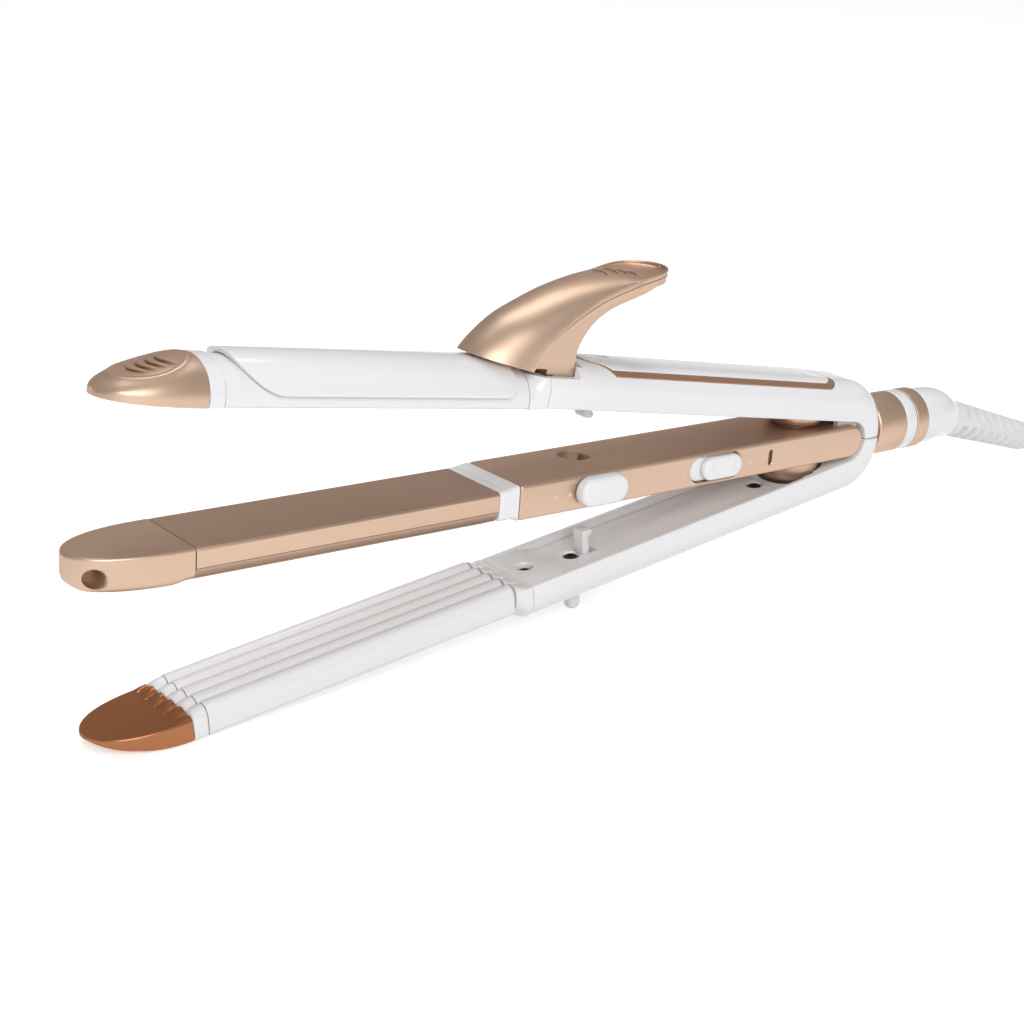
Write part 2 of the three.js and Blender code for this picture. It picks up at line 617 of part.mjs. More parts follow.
// Room for a latch's flange.
function flangeRoom(up, y, a, b) {
  const [x, half] = [LATCH_X, HOOK_WIDTH / 2 + 1.2];
  const tool = box(x - 3.3, x + 3.7 + LATCH_TRAVEL, y - half, y + half, a, b);
  return up > 0 ? tool : tool.mirror([0, 0, 1]);
}

const lowerCrown = (x) => RIM + LOWER_DEPTH + (LOWER_LIFT * x) / OUTER_FRONT;
const COVER_UNDER = FLOOR + COVER_THICK;

function lowerLatch() {
  const x = LATCH_X;
  const under = lowerCrown(x - KNOB_AHEAD - KNOB_LENGTH / 2) + GAP;
  const stem = box(x - HOOK_THICK, x - 0.2, LOWER_LATCH_Y - 1.6, LOWER_LATCH_Y + 1.6,
    COVER_UNDER + 1, under + SHOE_THICK / 2);
  const shoe = box(x - KNOB_AHEAD, x, LOWER_LATCH_Y - 2, LOWER_LATCH_Y + 2, under,
    under + SHOE_THICK);
  const knob = pull('z', slot(0, 0, KNOB_WIDTH, KNOB_LENGTH, 7)
    .map(([u, v]) => [x - KNOB_AHEAD + v, LOWER_LATCH_Y + u]), under, KNOB_DROP, 0.7);
  return latch(-1, LOWER_LATCH_Y, LOWER_HOOK_END, COVER_UNDER + GAP, join(stem, shoe, knob));
}

// ---------------------------------------------------------------- the lower arm
// Centres of the cover's screws, and how far below the rim each of its holes opens.
const COVER_FRONT_TOP = RIM + LOWER_LIFT;
const COVER_SCREWS = [[-118.6, 0, COVER_FRONT_TOP], [LATCH_X - 5.2, 0, FLOOR], [-29.5, 0, FLOOR]];
const SCREW_HEAD = 2;
const SCREW_SEAT = 2.4; // how far a screw's head sits below the cover's face

function lowerHandle() {
  const shell = handleShell(-1, LOWER_DEPTH, LOWER_LIFT);
  const deep = box(OUTER_FRONT + RIM_WIDTH, COVER_END + GAP, -RECESS_HALF, RECESS_HALF,
    -COVER_UNDER, 1 - RIM);
  const neckBack = box(COVER_END - 1, BOSS_X, -RECESS_HALF, RECESS_HALF, -FLOOR, 1 - RIM);
  const screwHoles = COVER_SCREWS.map(([x, y]) => bar('z', 1.4, -COVER_UNDER - 3.4,
    -COVER_UNDER + 1, x, y, 12));
  const body = cut(
    shell,
    deep,
    neckBack,
    neckRoom(-1),
    cupPocket(-1),
    flangeRoom(-1, LOWER_LATCH_Y, COVER_UNDER - 1, COVER_UNDER + 1.9),
    latchSlot(-1, LOWER_LATCH_Y, COVER_UNDER, lowerCrown(LATCH_X) + 1, undefined, 1.6 + GAP),
    ...screwHoles,
  );
  return cut(join(body, ...lugs(-1, LUG_INNER)), pinBore);
}

function lowerCover() {
  const [front, half] = [OUTER_FRONT + RIM_WIDTH + GAP, RECESS_HALF - GAP];
  const outline = [[front, GAP - COVER_UNDER], [COVER_END, GAP - COVER_UNDER],
    [COVER_END, -FLOOR], [COVER_STEP + 0.8, -FLOOR], [COVER_STEP, -COVER_FRONT_TOP - 0.2],
    [front, -COVER_FRONT_TOP - 0.2]];
  const seats = COVER_SCREWS.flatMap(([x, y, top]) => [
    bar('z', SCREW_HEAD + GAP, -top - SCREW_SEAT - 0.1, 1 - top, x, y, 20),
    bar('z', 1.4, -COVER_UNDER - 1, -top, x, y, 12),
  ]);
  return cut(
    pull('y', outline, -half, half),
    latchSlot(-1, LOWER_LATCH_Y, FLOOR - 1, COVER_UNDER + 1),
    ...seats,
  );
}

function coverScrew([x, y, top]) {
  const seat = -Math.min(top + SCREW_SEAT, COVER_UNDER - GAP - 0.4);
  const recess = [box(-1.2, 1.2, -0.3, 0.3, 0, 2), box(-0.3, 0.3, -1.2, 1.2, 0, 2)];
  const head = bar('z', SCREW_HEAD, seat, seat + 1.3, x, y, 20);
  const shank = bar('z', 1.1, -COVER_UNDER - 3, seat + 0.2, x, y, 12);
  return cut(join(head, shank), ...recess.map((r) => r.translate([x, y, seat + 0.7])));
}

// Section of the crimping head: waves across the top and round lower corners. share is how
// much of the full ridge height is left, phase moves the waves sideways.
function crimpRing(x, w, crest, shoulder, bottom, share, corner = CRIMP_CORNER, phase = 0) {
  const reach = Math.min(RIDGE_EDGE, w - 0.3);
  const waves = range(RIDGE_STEPS + 1, (i) => {
    const y = mix(reach, -reach, i / RIDGE_STEPS);
    return [y, mix(shoulder, crest - ridge(y + phase), share)];
  });
  const r = Math.min(corner, (shoulder - bottom) * 0.6, w * 0.8);
  return [[w, shoulder], ...waves, [-w, shoulder], ...arc(r - w, bottom + r, r, r, 180, 270, 5),
    ...arc(w - r, bottom + r, r, r, 270, 360, 5)].map(([y, z]) => point(x, y, z));
}

const LOWER_PLATE_REAR = OUTER_COLLAR - GAP;
const LOWER_PLATE_FRONT = PLATE_FRONT + 0.9;
const LOWER_RING_FRONT = LOWER_PLATE_FRONT - RING_LENGTH + GAP;
const LOWER_TIP_REAR = LOWER_RING_FRONT - GAP;
const LOWER_TIP_LENGTH = TIP_LENGTH - 4.2;

function lowerCrimpPlate() {
  const ring = (x) => crimpRing(x, HALF_P, CRIMP_CREST, CRIMP_SHOULDER, CRIMP_BOTTOM, 1);
  return loft([ring(LOWER_PLATE_FRONT), ring(LOWER_PLATE_REAR)]);
}

function lowerEndRing() {
  const ring = (x, share) => crimpRing(
    x,
    HALF_P,
    CRIMP_CREST - 0.4,
    CRIMP_SHOULDER,
    CRIMP_BOTTOM,
    share,
  );
  return loft([ring(LOWER_RING_FRONT, 0.25), ring(LOWER_PLATE_FRONT - GAP, 1)]);
}

// Short claws on the tip stand between the ridges and fade out on its flat top.
function lowerTip() {
  const crest = CRIMP_CREST - 0.5;
  return loft([0, 0.05, 0.1, 0.13, 0.16, 0.36, 0.56, 0.73, 0.86, 0.95, 1].map((t) => {
    const x = LOWER_TIP_REAR - t * LOWER_TIP_LENGTH;
    const w = Math.max(tipHalf(t, HALF_P - 0.1, 2.6), 1.6);
    const shoulder = CRIMP_SHOULDER + 0.5 - 0.6 * t;
    const fade = Math.max(0, 1 - (t / 0.16) ** 2);
    const bottom = mix(CRIMP_BOTTOM, CRIMP_SHOULDER - 0.9, t ** 2.4);
    return crimpRing(x, w, crest, shoulder, bottom, fade, CRIMP_CORNER * (1 + t),
      RIDGE_PITCH / 2);
  }));
}

function lowerCollar() {
  const rings = [0, 0.15, 0.4, 0.65, 0.85, 1].map((t) => {
    const x = mix(OUTER_COLLAR, OUTER_FRONT - GAP, t);
    const s = t * t * (3 - 2 * t);
    const w = mix(HALF_P - 0.3, HALF_W, s);
    const depth = mix(CRIMP_SHOULDER - CRIMP_BOTTOM, LOWER_DEPTH, s);
    const rim = mix(-CRIMP_SHOULDER, RIM + LOWER_LIFT, s);
    return dome(w, depth, depth * SIDE_FLAT, mix(4, CROWN_WIDTH / 2, s))
      .map(([y, d]) => point(x, y, -rim - d));
  });
  return loft(rings);
}

// ---------------------------------------------------------------- the upper arm
const UPPER_CROWN = RIM + UPPER_DEPTH;
const SKIN = 0.9; // depth of the inlay on top of the upper handle
const PANEL_EDGE = 1.7; // width of the metal strip around the panel
const PANEL_REAR = -10.5;
const PANEL_FRONT = LATCH_X - 10.8;
const PANEL_FRONT_SIDE = LATCH_X - 4.3; // the panel's front edge bows forward between its corners
const PANEL_HALF = 10.4;
const SHELF_Z = 15.7; // the handle is cut down to here under the lever
const SHELF_END = -114.5;
const LEVER_HALF = 8;
const LEVER_POCKET_END = -110.8;
const LEVER_FLOOR = 9.4;

// Plan of the panel, shrunk by e.
function panelPlan(e) {
  const half = PANEL_HALF - e;
  const r = 5 - e * 0.5;
  const bow = PANEL_FRONT_SIDE - PANEL_FRONT;
  const front = range(9, (i) => {
    const y = mix(half, -half, i / 8);
    return [PANEL_FRONT + e + bow * (y / PANEL_HALF) ** 2, y];
  });
  return [...front, ...arc(PANEL_REAR - e - r, r - half, r, r, -90, 0, 5),
    ...arc(PANEL_REAR - e - r, half - r, r, r, 0, 90, 5)];
}

const panelPrism = (e) => pull('z', panelPlan(e), UPPER_CROWN - 7, UPPER_CROWN + 4);
const upperShell = (inset) => handleShell(1, UPPER_DEPTH, UPPER_LIFT, inset);
const upperCore = upperShell(SKIN);

function latchTab() {
  const top = UPPER_CROWN + UPPER_LIFT * (LATCH_X / OUTER_FRONT) - 0.2;
  const ribs = range(3, (i) => box(LATCH_X - 2.6 + i * 1.5, LATCH_X - 1.9 + i * 1.5,
    UPPER_LATCH_Y - 2, UPPER_LATCH_Y + 2, top - 0.5, top));
  const pad = box(LATCH_X - 3, LATCH_X + 1.6, UPPER_LATCH_Y - 2, UPPER_LATCH_Y + 2,
    UPPER_FLANGE + 1, top - 0.4);
  return join(pad, ...ribs);
}

const UPPER_FLANGE = UPPER_CROWN - 4.6;
const upperLatch = () => latch(1, UPPER_LATCH_Y, UPPER_HOOK_END, UPPER_FLANGE, latchTab());
const tabRoom = (a, b) => box(LATCH_X - 3.3, LATCH_X + 1.9 + LATCH_TRAVEL,
  UPPER_LATCH_Y - 2 - GAP, UPPER_LATCH_Y + 2 + GAP, a, b);

function upperHandle() {
  const shell = upperShell(0);
  const recess = box(-108, COVER_END, -RECESS_HALF, RECESS_HALF, RIM - 1, FLOOR);
  const inlay = cut(panelPrism(0), upperCore);
  const shelf = box(OUTER_FRONT - 1, SHELF_END, -HALF_W - 1, HALF_W + 1, SHELF_Z, UPPER_CROWN + 5);
  const pocket = box(OUTER_FRONT - 1, LEVER_POCKET_END, -LEVER_HALF - 2 * GAP,
    LEVER_HALF + 2 * GAP, LEVER_FLOOR, UPPER_CROWN + 5);
  const leverBore = bar('y', 1.5 + GAP, 1 - HALF_W, HALF_W - 1, LEVER_PIVOT_X, LEVER_PIVOT_Z, 16);
  const body = cut(
    shell,
    recess,
    inlay,
    shelf,
    pocket,
    leverBore,
    neckRoom(1),
    cupPocket(1),
    latchSlot(1, UPPER_LATCH_Y, RIM, UPPER_CROWN),
    flangeRoom(1, UPPER_LATCH_Y, UPPER_FLANGE - GAP, UPPER_CROWN + 3),
  );
  return cut(join(body, ...lugs(1, LUG_OUTER)), pinBore);
}

const inlaySkin = (a, b) => cut(upperShell(a), upperShell(b));
const upperTrim = () => inlaySkin(0, SKIN - 0.2).intersect(
  cut(panelPrism(0.15), panelPrism(PANEL_EDGE)),
);
const upperPanel = () => cut(
  inlaySkin(-0.25, SKIN - 0.2).intersect(panelPrism(PANEL_EDGE + 0.15)),
  tabRoom(UPPER_CROWN - 3, UPPER_CROWN + 3),
);

// The barrel section leans down towards the tip, about its foot at the collar.
function droop(body) {
  return body.translate([-OUTER_COLLAR, 0, 0]).rotate([0, -DROOP_DEG, 0])
    .translate([OUTER_COLLAR, 0, BARREL_Z]);
}

const BARREL_REAR = OUTER_COLLAR - GAP;
const BARREL_FRONT = PLATE_FRONT + 4.2;
const UPPER_RING_FRONT = BARREL_FRONT - RING_LENGTH;
const UPPER_TIP_LENGTH = TIP_LENGTH - 3;

function upperPlate() {
  const r = 0.5;
  const w = BARREL_HALF - BARREL_SKIRT - GAP;
  const outline = [...arc(w - r, r, r, r, -90, 0, 3), [w, SLAB_THICK - GAP],
    [-w, SLAB_THICK - GAP], ...arc(r - w, r, r, r, 180, 270, 3)];
  return droop(pull('x', outline, BARREL_FRONT, BARREL_REAR));
}

const halfRound = (w, h, steps) => arc(0, SLAB_THICK, w, h, 0, 180, steps);
const BARREL_RISE = BARREL_HEIGHT - SLAB_THICK;

// The barrel is white down its sides, with the flat plate let in between them.
function barrel() {
  const [w, inner, r] = [BARREL_HALF, BARREL_HALF - BARREL_SKIRT, 0.5];
  const outline = [...halfRound(w, BARREL_RISE, 28), ...arc(r - w, SKIRT_FOOT + r, r, r, 180, 270, 2),
    [-inner, SKIRT_FOOT], [-inner, SLAB_THICK], [inner, SLAB_THICK], [inner, SKIRT_FOOT],
    ...arc(w - r, SKIRT_FOOT + r, r, r, 270, 360, 2)];
  return droop(pull('x', outline, BARREL_FRONT, BARREL_REAR));
}

// Ring shape shared by the parts at both ends of the barrel.
const headRing = (x, w, z0, depth, side, steps = 9) => dome(w, depth, side, w, 0, steps)
  .map(([y, d]) => point(x, y, z0 + d));

function upperEndRing() {
  const w = BARREL_HALF + 0.5;
  const ring = (x) => headRing(x, w, 0.2, BARREL_HEIGHT + 0.3, SLAB_THICK);
  return droop(loft([ring(UPPER_RING_FRONT), ring(BARREL_FRONT - GAP)]));
}

function upperTip() {
  const steps = 12;
  const rings = range(steps + 1, (i) => {
    const t = 1 - (1 - i / steps) ** 1.6;
    const x = UPPER_RING_FRONT - GAP - t * UPPER_TIP_LENGTH;
    const w = Math.max(tipHalf(t, BARREL_HALF + 0.5, 2.6), 1.4);
    const z0 = 0.25 + 0.25 * t;
    const depth = (BARREL_HEIGHT + 0.2) * (1 - 0.83 * t ** 1.9);
    return headRing(x, w, z0, depth, Math.min(SLAB_THICK, depth * 0.4));
  });
  return droop(loft(rings));
}

function upperCollar() {
  const rings = [0, 0.2, 0.45, 0.7, 0.9, 1].map((t) => {
    const x = mix(OUTER_COLLAR, OUTER_FRONT - GAP, t);
    const s = t * t * (3 - 2 * t);
    const w = mix(BARREL_HALF + 0.4, HALF_W, s);
    const rim = mix(BARREL_Z, RIM + UPPER_LIFT, s);
    const depth = mix(BARREL_HEIGHT, UPPER_DEPTH, s);
    const [side, round] = [mix(SLAB_THICK, UPPER_DEPTH * SIDE_FLAT, s), mix(w, CROWN_WIDTH / 2, s)];
    return dome(w, depth, side, round).map(([y, d]) => point(x, y, rim + d));
  });
  const shelf = box(OUTER_COLLAR - 1, OUTER_FRONT, -HALF_W - 1, HALF_W + 1, SHELF_Z,
    UPPER_CROWN + 5);
  return cut(loft(rings), shelf);
}

const pinBar = (r, reach, x, z) => bar('y', r, -reach, reach, x, z, 16);
const leverPin = () => pinBar(1.5, HALF_W - 1 - GAP, LEVER_PIVOT_X, LEVER_PIVOT_Z);

// ---------------------------------------------------------------- the clamp and its lever
const CLAMP_FRONT = BARREL_FRONT + 0.6;
const CLAMP_REAR = -136;
const CLAMP_SWEEP = 19; // the clamp's front edge runs back this far from crown to edge
const CLAMP_HALF = BARREL_HALF + GAP + CLAMP_WALL;
const CLAMP_RISE = BARREL_RISE + GAP + CLAMP_WALL;

function clampShell() {
  const edge = CLAMP_EDGE - SLAB_THICK;
  const start = THREE.MathUtils.radToDeg(Math.asin(edge / CLAMP_RISE));
  const outer = arc(0, SLAB_THICK, CLAMP_HALF, CLAMP_RISE, start, 180 - start, 28);
  const inner = arc(0, SLAB_THICK, BARREL_HALF + GAP, BARREL_RISE + GAP, 180 - start, start, 28);
  const wall = pull('x', [...outer, ...inner], CLAMP_FRONT, CLAMP_REAR);
  const top = SLAB_THICK + CLAMP_RISE + 1;
  const nose = range(9, (i) => {
    const s = i / 8;
    return [CLAMP_FRONT + CLAMP_SWEEP * (1 - s * s * (3 - 2 * s)), mix(0, top, s)];
  });
  const ahead = pull('y', [...nose, [CLAMP_FRONT - 1, top], [CLAMP_FRONT - 1, 0]], -15, 15);
  return droop(cut(wall, ahead));
}

// Stations along the lever's hood: top of the crown, lower edge, half width, lip height.
const HOOD = [
  [[-147.4, 19.5], [-132.1, 17.2], 11.6, 0.5],
  [[-144.2, 23.5], [-130.8, 19.4], 11.4, 0.8],
  [[-137.5, 29], [-128, 23], 11, 1.2],
  [[-129, 34.1], [-124, 27.5], 10.6, 1.6],
  [[-120.6, 38.3], [-118, 32.2], 10.1, 2],
  [[-111, 41.6], [-110.2, 36.6], 9.6, 2.2],
  [[-102, 44], [-102, 40.6], 9.5, 2.2],
  [[-96, 45], [-95.6, 43.8], 9.6, 2.6],
  [[-91.6, 45], [-91.4, 45.4], 9.3, 3.2],
  [[-87.6, 44.8], [-87.5, 45.9], 7.9, 3.6],
  [[-84.6, 44.9], [-84.6, 45.8], 5.6, 3.6],
  [[-83, 44.7], [-83.1, 45.2], 2.8, 3],
];
const HOOD_STEPS = 14;

function hoodRing([[tx, tz], [ex, ez], w, lip], i) {
  const back = HOOD[Math.max(0, i - 1)][1];
  const ahead = HOOD[Math.min(HOOD.length - 1, i + 1)][1];
  const slope = Math.atan2(ahead[1] - back[1], ahead[0] - back[0]);
  const [dx, dz] = [Math.sin(slope) * lip, -Math.cos(slope) * lip];
  const crown = range(HOOD_STEPS + 1, (k) => {
    const a = mix(-Math.PI / 2, Math.PI / 2, k / HOOD_STEPS);
    const c = Math.cos(a) ** 1.15;
    return point(mix(ex, tx, c), w * Math.sin(a), mix(ez, tz, c));
  });
  return [...crown, point(ex + dx, w - 0.4, ez + dz), point(ex + dx, 0.4 - w, ez + dz)];
}

function thumbLever() {
  const hood = loft(HOOD.map(hoodRing));
  const web = pull('y', [[-124.3, 17.4], [-124.3, SHELF_Z + GAP], [-122, SHELF_Z + GAP],
    [LEVER_PIVOT_X - 3.4, LEVER_PIVOT_Z], ...arc(LEVER_PIVOT_X, LEVER_PIVOT_Z, 2.8, 2.8, 190, 350, 8),
    [-114.8, 15.7], [-114.6, 22], [-113.6, 26], [-111.6, 29.8], [-107.8, 33.3], [-103.1, 36],
    [-94.1, 39.8], [-90, 42.2], [-91, 43.6], [-102, 40], [-112, 35], [-122, 28], [-129, 19.6],
    [-130.4, 17.4]], -LEVER_HALF, LEVER_HALF);
  const seat = droop(pull('x', halfRound(CLAMP_HALF + GAP, CLAMP_RISE + GAP, 28),
    CLAMP_FRONT, BARREL_REAR + GAP));
  const bore = pinBar(1.5 + GAP, HALF_W, LEVER_PIVOT_X, LEVER_PIVOT_Z);
  const cleft = box(-136, -124.6, -HALF_W, HALF_W, 0, SHELF_Z + GAP + 0.4);
  return cut(join(hood, web), seat, bore, cleft);
}

// ---------------------------------------------------------------- finishes
const finish = (color, roughness, metalness) => ({ color, roughness, metalness });
const ROSE = finish('#d9b08f', 0.32, 0.85);
const COPPER = finish('#b9784c', 0.34, 0.85);
const WHITE = finish('#ececee', 0.3, 0);
const CERAMIC = finish('#e3dcd6', 0.25, 0.1);
const STEEL = finish('#b8b8ba', 0.35, 0.9);
const DARK = finish('#3a3836', 0.6, 0);
const AMBER = finish('#c8742a', 0.3, 0);
const SOFT = finish('#e6e6e8', 0.55, 0);

const ARMS = { lower: 0, middle: LOWER_OPEN_DEG, upper: LOWER_OPEN_DEG + UPPER_OPEN_DEG };

const NODES = [
  ['middle_housing', 'middle', ROSE, middleHousing],
  ['middle_collar', 'middle', WHITE, middleCollar],
  ['straightening_plate', 'middle', ROSE, straighteningPlate],
  ['middle_crimp_plate', 'middle', ROSE, middleCrimpPlate],
  ['plate_heater', 'middle', DARK, middleHeater],
  ['middle_tip', 'middle', ROSE, middleTip],
  ['hinge_pin', 'middle', STEEL, () => pinBar(PIN_RADIUS, HALF_W - 0.8 - GAP, 0, 0)],
  ['upper_spring_cup', 'middle', COPPER, () => springCup(1)],
  ['lower_spring_cup', 'middle', COPPER, () => springCup(-1)],
  ['upper_opening_spring', 'middle', STEEL, () => openingSpring(1)],
  ['lower_opening_spring', 'middle', STEEL, () => openingSpring(-1)],
  ['power_slider_bed', 'middle', WHITE, powerBed],
  ['indicator_lamp', 'middle', AMBER, indicatorLamp],
  ['rear_sleeve', 'middle', ROSE, rearSleeve],
  ['rear_spacer', 'middle', WHITE, () => swivelWasher(SLEEVE_END + 0.1, SPACER_END)],
  ['temperature_slider', 'middle', WHITE, temperatureSlider],
  ['power_slider', 'middle', WHITE, powerSlider],
  ['swivel_ring', 'middle', COPPER, () => swivelWasher(SPACER_END + GAP, SWIVEL_RING_END)],
  ['swivel_elbow', 'middle', WHITE, swivelElbow],
  ['strain_relief', 'middle', SOFT, strainRelief],
  ['lower_handle', 'lower', WHITE, lowerHandle],
  ['lower_inner_cover', 'lower', WHITE, lowerCover],
  ['lower_collar', 'lower', WHITE, lowerCollar],
  ['lower_crimp_plate', 'lower', CERAMIC, lowerCrimpPlate],
  ['lower_end_ring', 'lower', WHITE, lowerEndRing],
  ['lower_tip', 'lower', COPPER, lowerTip],
  ...COVER_SCREWS.map((at, i) => [`cover_screw_${i + 1}`, 'lower', STEEL, () => coverScrew(at)]),
  ['lower_latch', 'lower', WHITE, lowerLatch],
  ['upper_handle', 'upper', WHITE, upperHandle],
  ['upper_trim', 'upper', COPPER, upperTrim],
  ['upper_panel', 'upper', WHITE, upperPanel],
  ['upper_collar', 'upper', WHITE, upperCollar],
  ['barrel', 'upper', WHITE, barrel],
  ['upper_plate', 'upper', ROSE, upperPlate],
  ['upper_end_ring', 'upper', WHITE, upperEndRing],
  ['upper_tip', 'upper', ROSE, upperTip],
  ['lever_pin', 'upper', STEEL, leverPin],
  ['upper_latch', 'upper', WHITE, upperLatch],
  ['clamp_shell', 'upper', WHITE, clampShell],
  ['thumb_lever', 'upper', ROSE, thumbLever],
];

// ---------------------------------------------------------------- standing on a table
// It stands on the knob's front edge and on the lower front edge of the crimping head.
const KNOB_FRONT = LATCH_X - KNOB_AHEAD - KNOB_LENGTH / 2 + 0.7;
const REST_TILT = Math.atan((KNOB_DROP + CRIMP_BOTTOM) / (KNOB_FRONT - LOWER_RING_FRONT));

const group = new THREE.Group();
for (const [name, arm, { color, roughness, metalness }, make] of NODES) {
  const geometry = toGeometry(make());
  geometry.rotateY(THREE.MathUtils.degToRad(ARMS[arm]) - REST_TILT);
  const material = new THREE.MeshStandardMaterial({ color, roughness, metalness });
  const mesh = new THREE.Mesh(geometry, material);
  mesh.name = name;
  group.add(mesh);
}

// The origin is on the table, under the middle of the whole object.
const bounds = new THREE.Box3().setFromObject(group);
const centre = bounds.getCenter(new THREE.Vector3());
for (const mesh of group.children) {
  mesh.geometry.translate(-centre.x, -centre.y, -bounds.min.z);
}

export default group;
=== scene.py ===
"""Three-in-one hair styler: a curling tong, a straightener and a crimper on one hinge."""

import json
import math

import bmesh
import bpy
from bpy.props import FloatProperty, FloatVectorProperty, IntProperty, PointerProperty
from mathutils import Matrix, Vector


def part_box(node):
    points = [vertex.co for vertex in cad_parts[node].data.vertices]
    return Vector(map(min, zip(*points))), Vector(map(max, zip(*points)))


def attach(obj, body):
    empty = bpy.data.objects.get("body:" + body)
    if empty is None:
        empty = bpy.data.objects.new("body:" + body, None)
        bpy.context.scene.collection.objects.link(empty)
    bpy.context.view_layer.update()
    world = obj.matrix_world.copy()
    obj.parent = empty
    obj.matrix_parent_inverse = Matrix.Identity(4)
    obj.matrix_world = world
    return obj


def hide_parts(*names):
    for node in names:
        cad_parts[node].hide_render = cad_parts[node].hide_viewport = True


bl_info = {
    "name": "Three-in-one hair styler",
    "version": (1, 0, 0),
    "blender": (4, 5, 0),
    "location": "View3D > Sidebar > Styler",
    "description": "Builds the arms, plates, switches and finishes of a hair styler on its frame",
    "category": "Object",
}

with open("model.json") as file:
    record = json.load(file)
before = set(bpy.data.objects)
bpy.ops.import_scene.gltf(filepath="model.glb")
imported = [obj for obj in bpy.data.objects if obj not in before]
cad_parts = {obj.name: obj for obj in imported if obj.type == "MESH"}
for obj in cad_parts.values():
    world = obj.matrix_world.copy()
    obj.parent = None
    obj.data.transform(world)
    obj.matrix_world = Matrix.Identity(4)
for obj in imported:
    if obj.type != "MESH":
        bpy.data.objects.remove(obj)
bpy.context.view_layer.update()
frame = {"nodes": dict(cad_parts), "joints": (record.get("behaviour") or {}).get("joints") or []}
JOINTS = {joint["name"]: joint for joint in frame["joints"]}


# ---- the frame's arms
def arm_matrix(joint_name):
    """Turns an arm's own millimetres, hinge at the origin and -X to the tip, into the frame."""
    low, high = (Vector(corner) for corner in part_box("hinge_pin"))
    direction = Vector(JOINTS[joint_name]["axis"])
    turn = Matrix.Rotation(math.atan2(-direction.z, direction.x), 4, "Y")
    return Matrix.Translation((low + high) / 2) @ turn @ Matrix.Scale(0.001, 4)


MIDDLE = arm_matrix("cord_swivel")
LOWER = arm_matrix("lower_latch_slide")
UPPER = arm_matrix("upper_latch_slide")
ARM = {"middle_arm": MIDDLE, "temperature_slider": MIDDLE, "power_slider": MIDDLE,
       "cord_outlet": MIDDLE, "lower_arm": LOWER, "lower_latch": LOWER,
       "upper_arm": UPPER, "upper_latch": UPPER, "clamp": UPPER}

# ---- sizes in millimetres
GAP = 0.3
HALF_W = 12.0
HALF_P = 12.2
HALF_T = 5.0
HANDLE_FRONT = -129.5
COLLAR_FRONT = HANDLE_FRONT - 7
PLATE_REAR = COLLAR_FRONT - GAP
PLATE_FRONT = PLATE_REAR - 92
TIP_REAR = PLATE_FRONT - GAP
TIP_LENGTH = 28
TIP_BELLY = 0.9
PLATE_TOP = 4.2
PLATE_FOLD = -1.2
PLATE_BOTTOM = -4.1
OUTER_FRONT = HANDLE_FRONT + 4.7
OUTER_COLLAR = OUTER_FRONT - 6
OPEN_DEG = {1: JOINTS["upper_arm_hinge"]["range_deg"][1],
            -1: JOINTS["lower_arm_hinge"]["range_deg"][1]}
RIM = 6.3
LOWER_DEPTH = 11
LOWER_LIFT = 0.6
UPPER_DEPTH = 11.8
UPPER_LIFT = 1.2
SIDE_SHARE = 0.42
ROUNDING = 7
WALL_AT_SEAM = 9.2
FLOOR = RIM + 2.6
RECESS_HALF = HALF_W - 1.8
COVER_UNDER = FLOOR + 2
COVER_STEP = -113
COVER_END = -27
COVER_FRONT_TOP = RIM + LOWER_LIFT
BOSS_X = -14
BOSS_RADIUS = 9.1
BOSS_FOOT = 5.9
BOSS_TOP = 12.8
SPRING_SEAT = 5.1
LUG_RADIUS = 4.2
LUG_THICK = 2
PIN_BORE = 1.8
PIN_REACH = 11.2
BARREL_Z = 6.7
BARREL_HALF = 11
BARREL_HEIGHT = 10.7
SLAB = 1.7
BARREL_RISE = BARREL_HEIGHT - SLAB
BARREL_SKIRT = 1.1
SKIRT_FOOT = 0.25
BARREL_REAR = OUTER_COLLAR - GAP
BARREL_FRONT = PLATE_FRONT + 4.2
UPPER_RING_FRONT = BARREL_FRONT - 4.5
UPPER_TIP_LENGTH = TIP_LENGTH - 3
TIP_SCOOP_X = UPPER_RING_FRONT - 11.3
CLAMP_HALF = BARREL_HALF + 1.7
CLAMP_RISE = BARREL_RISE + 1.7
CLAMP_FRONT = BARREL_FRONT + 3.2
LATCH_X = -96.7
HOLE_X = LATCH_X - 1.6
HOLE_RADIUS = 4.6
LOWER_LATCH_Y = 0
UPPER_LATCH_Y = 3.8
HOOK_ROOM = (LATCH_X - 2.8, LATCH_X + 2.7)
FLANGE_ROOM = (LATCH_X - 3.3, LATCH_X + 5.7)
UPPER_CROWN = RIM + UPPER_DEPTH
LOWER_CROWN = RIM + LOWER_DEPTH + LOWER_LIFT
KNOB_AHEAD = 5.3
KNOB_LENGTH = 4.6
KNOB_WIDTH = 4.9
KNOB_TOP = 18.1
SHOE_FOOT = 19.4
PITCH = 4.75
RIDGES = 5
RIDGE_DEPTH = 1.9
RIBS_HALF = 11.8
CREST = -4.75
SHOULDER = -6.9
BOTTOM = -13.6
HEAD_CORNER = 2.0
LOWER_PLATE_REAR = OUTER_COLLAR - GAP
LOWER_PLATE_FRONT = PLATE_FRONT + 0.9
LOWER_RING_FRONT = LOWER_PLATE_FRONT - 4.2
LOWER_TIP_REAR = LOWER_RING_FRONT - GAP
LOWER_TIP_LENGTH = TIP_LENGTH - 4.2
SCREWS = [(-118.6, 0, COVER_FRONT_TOP), (LATCH_X - 5.2, 0, FLOOR), (-29.5, 0, FLOOR)]
PIVOT_X = -117.5
PIVOT_Z = 12.5
SHELF_Z = 15.7
SHELF_END = -114.5
PANEL_FRONT = -107.5
PANEL_REAR = -8.4
PANEL_HALF = 10.4
CORE_HALF = 4.3
CORE_REAR = 7.2
CHEEK_FRONT = -5.2
NECK_RADIUS = 6
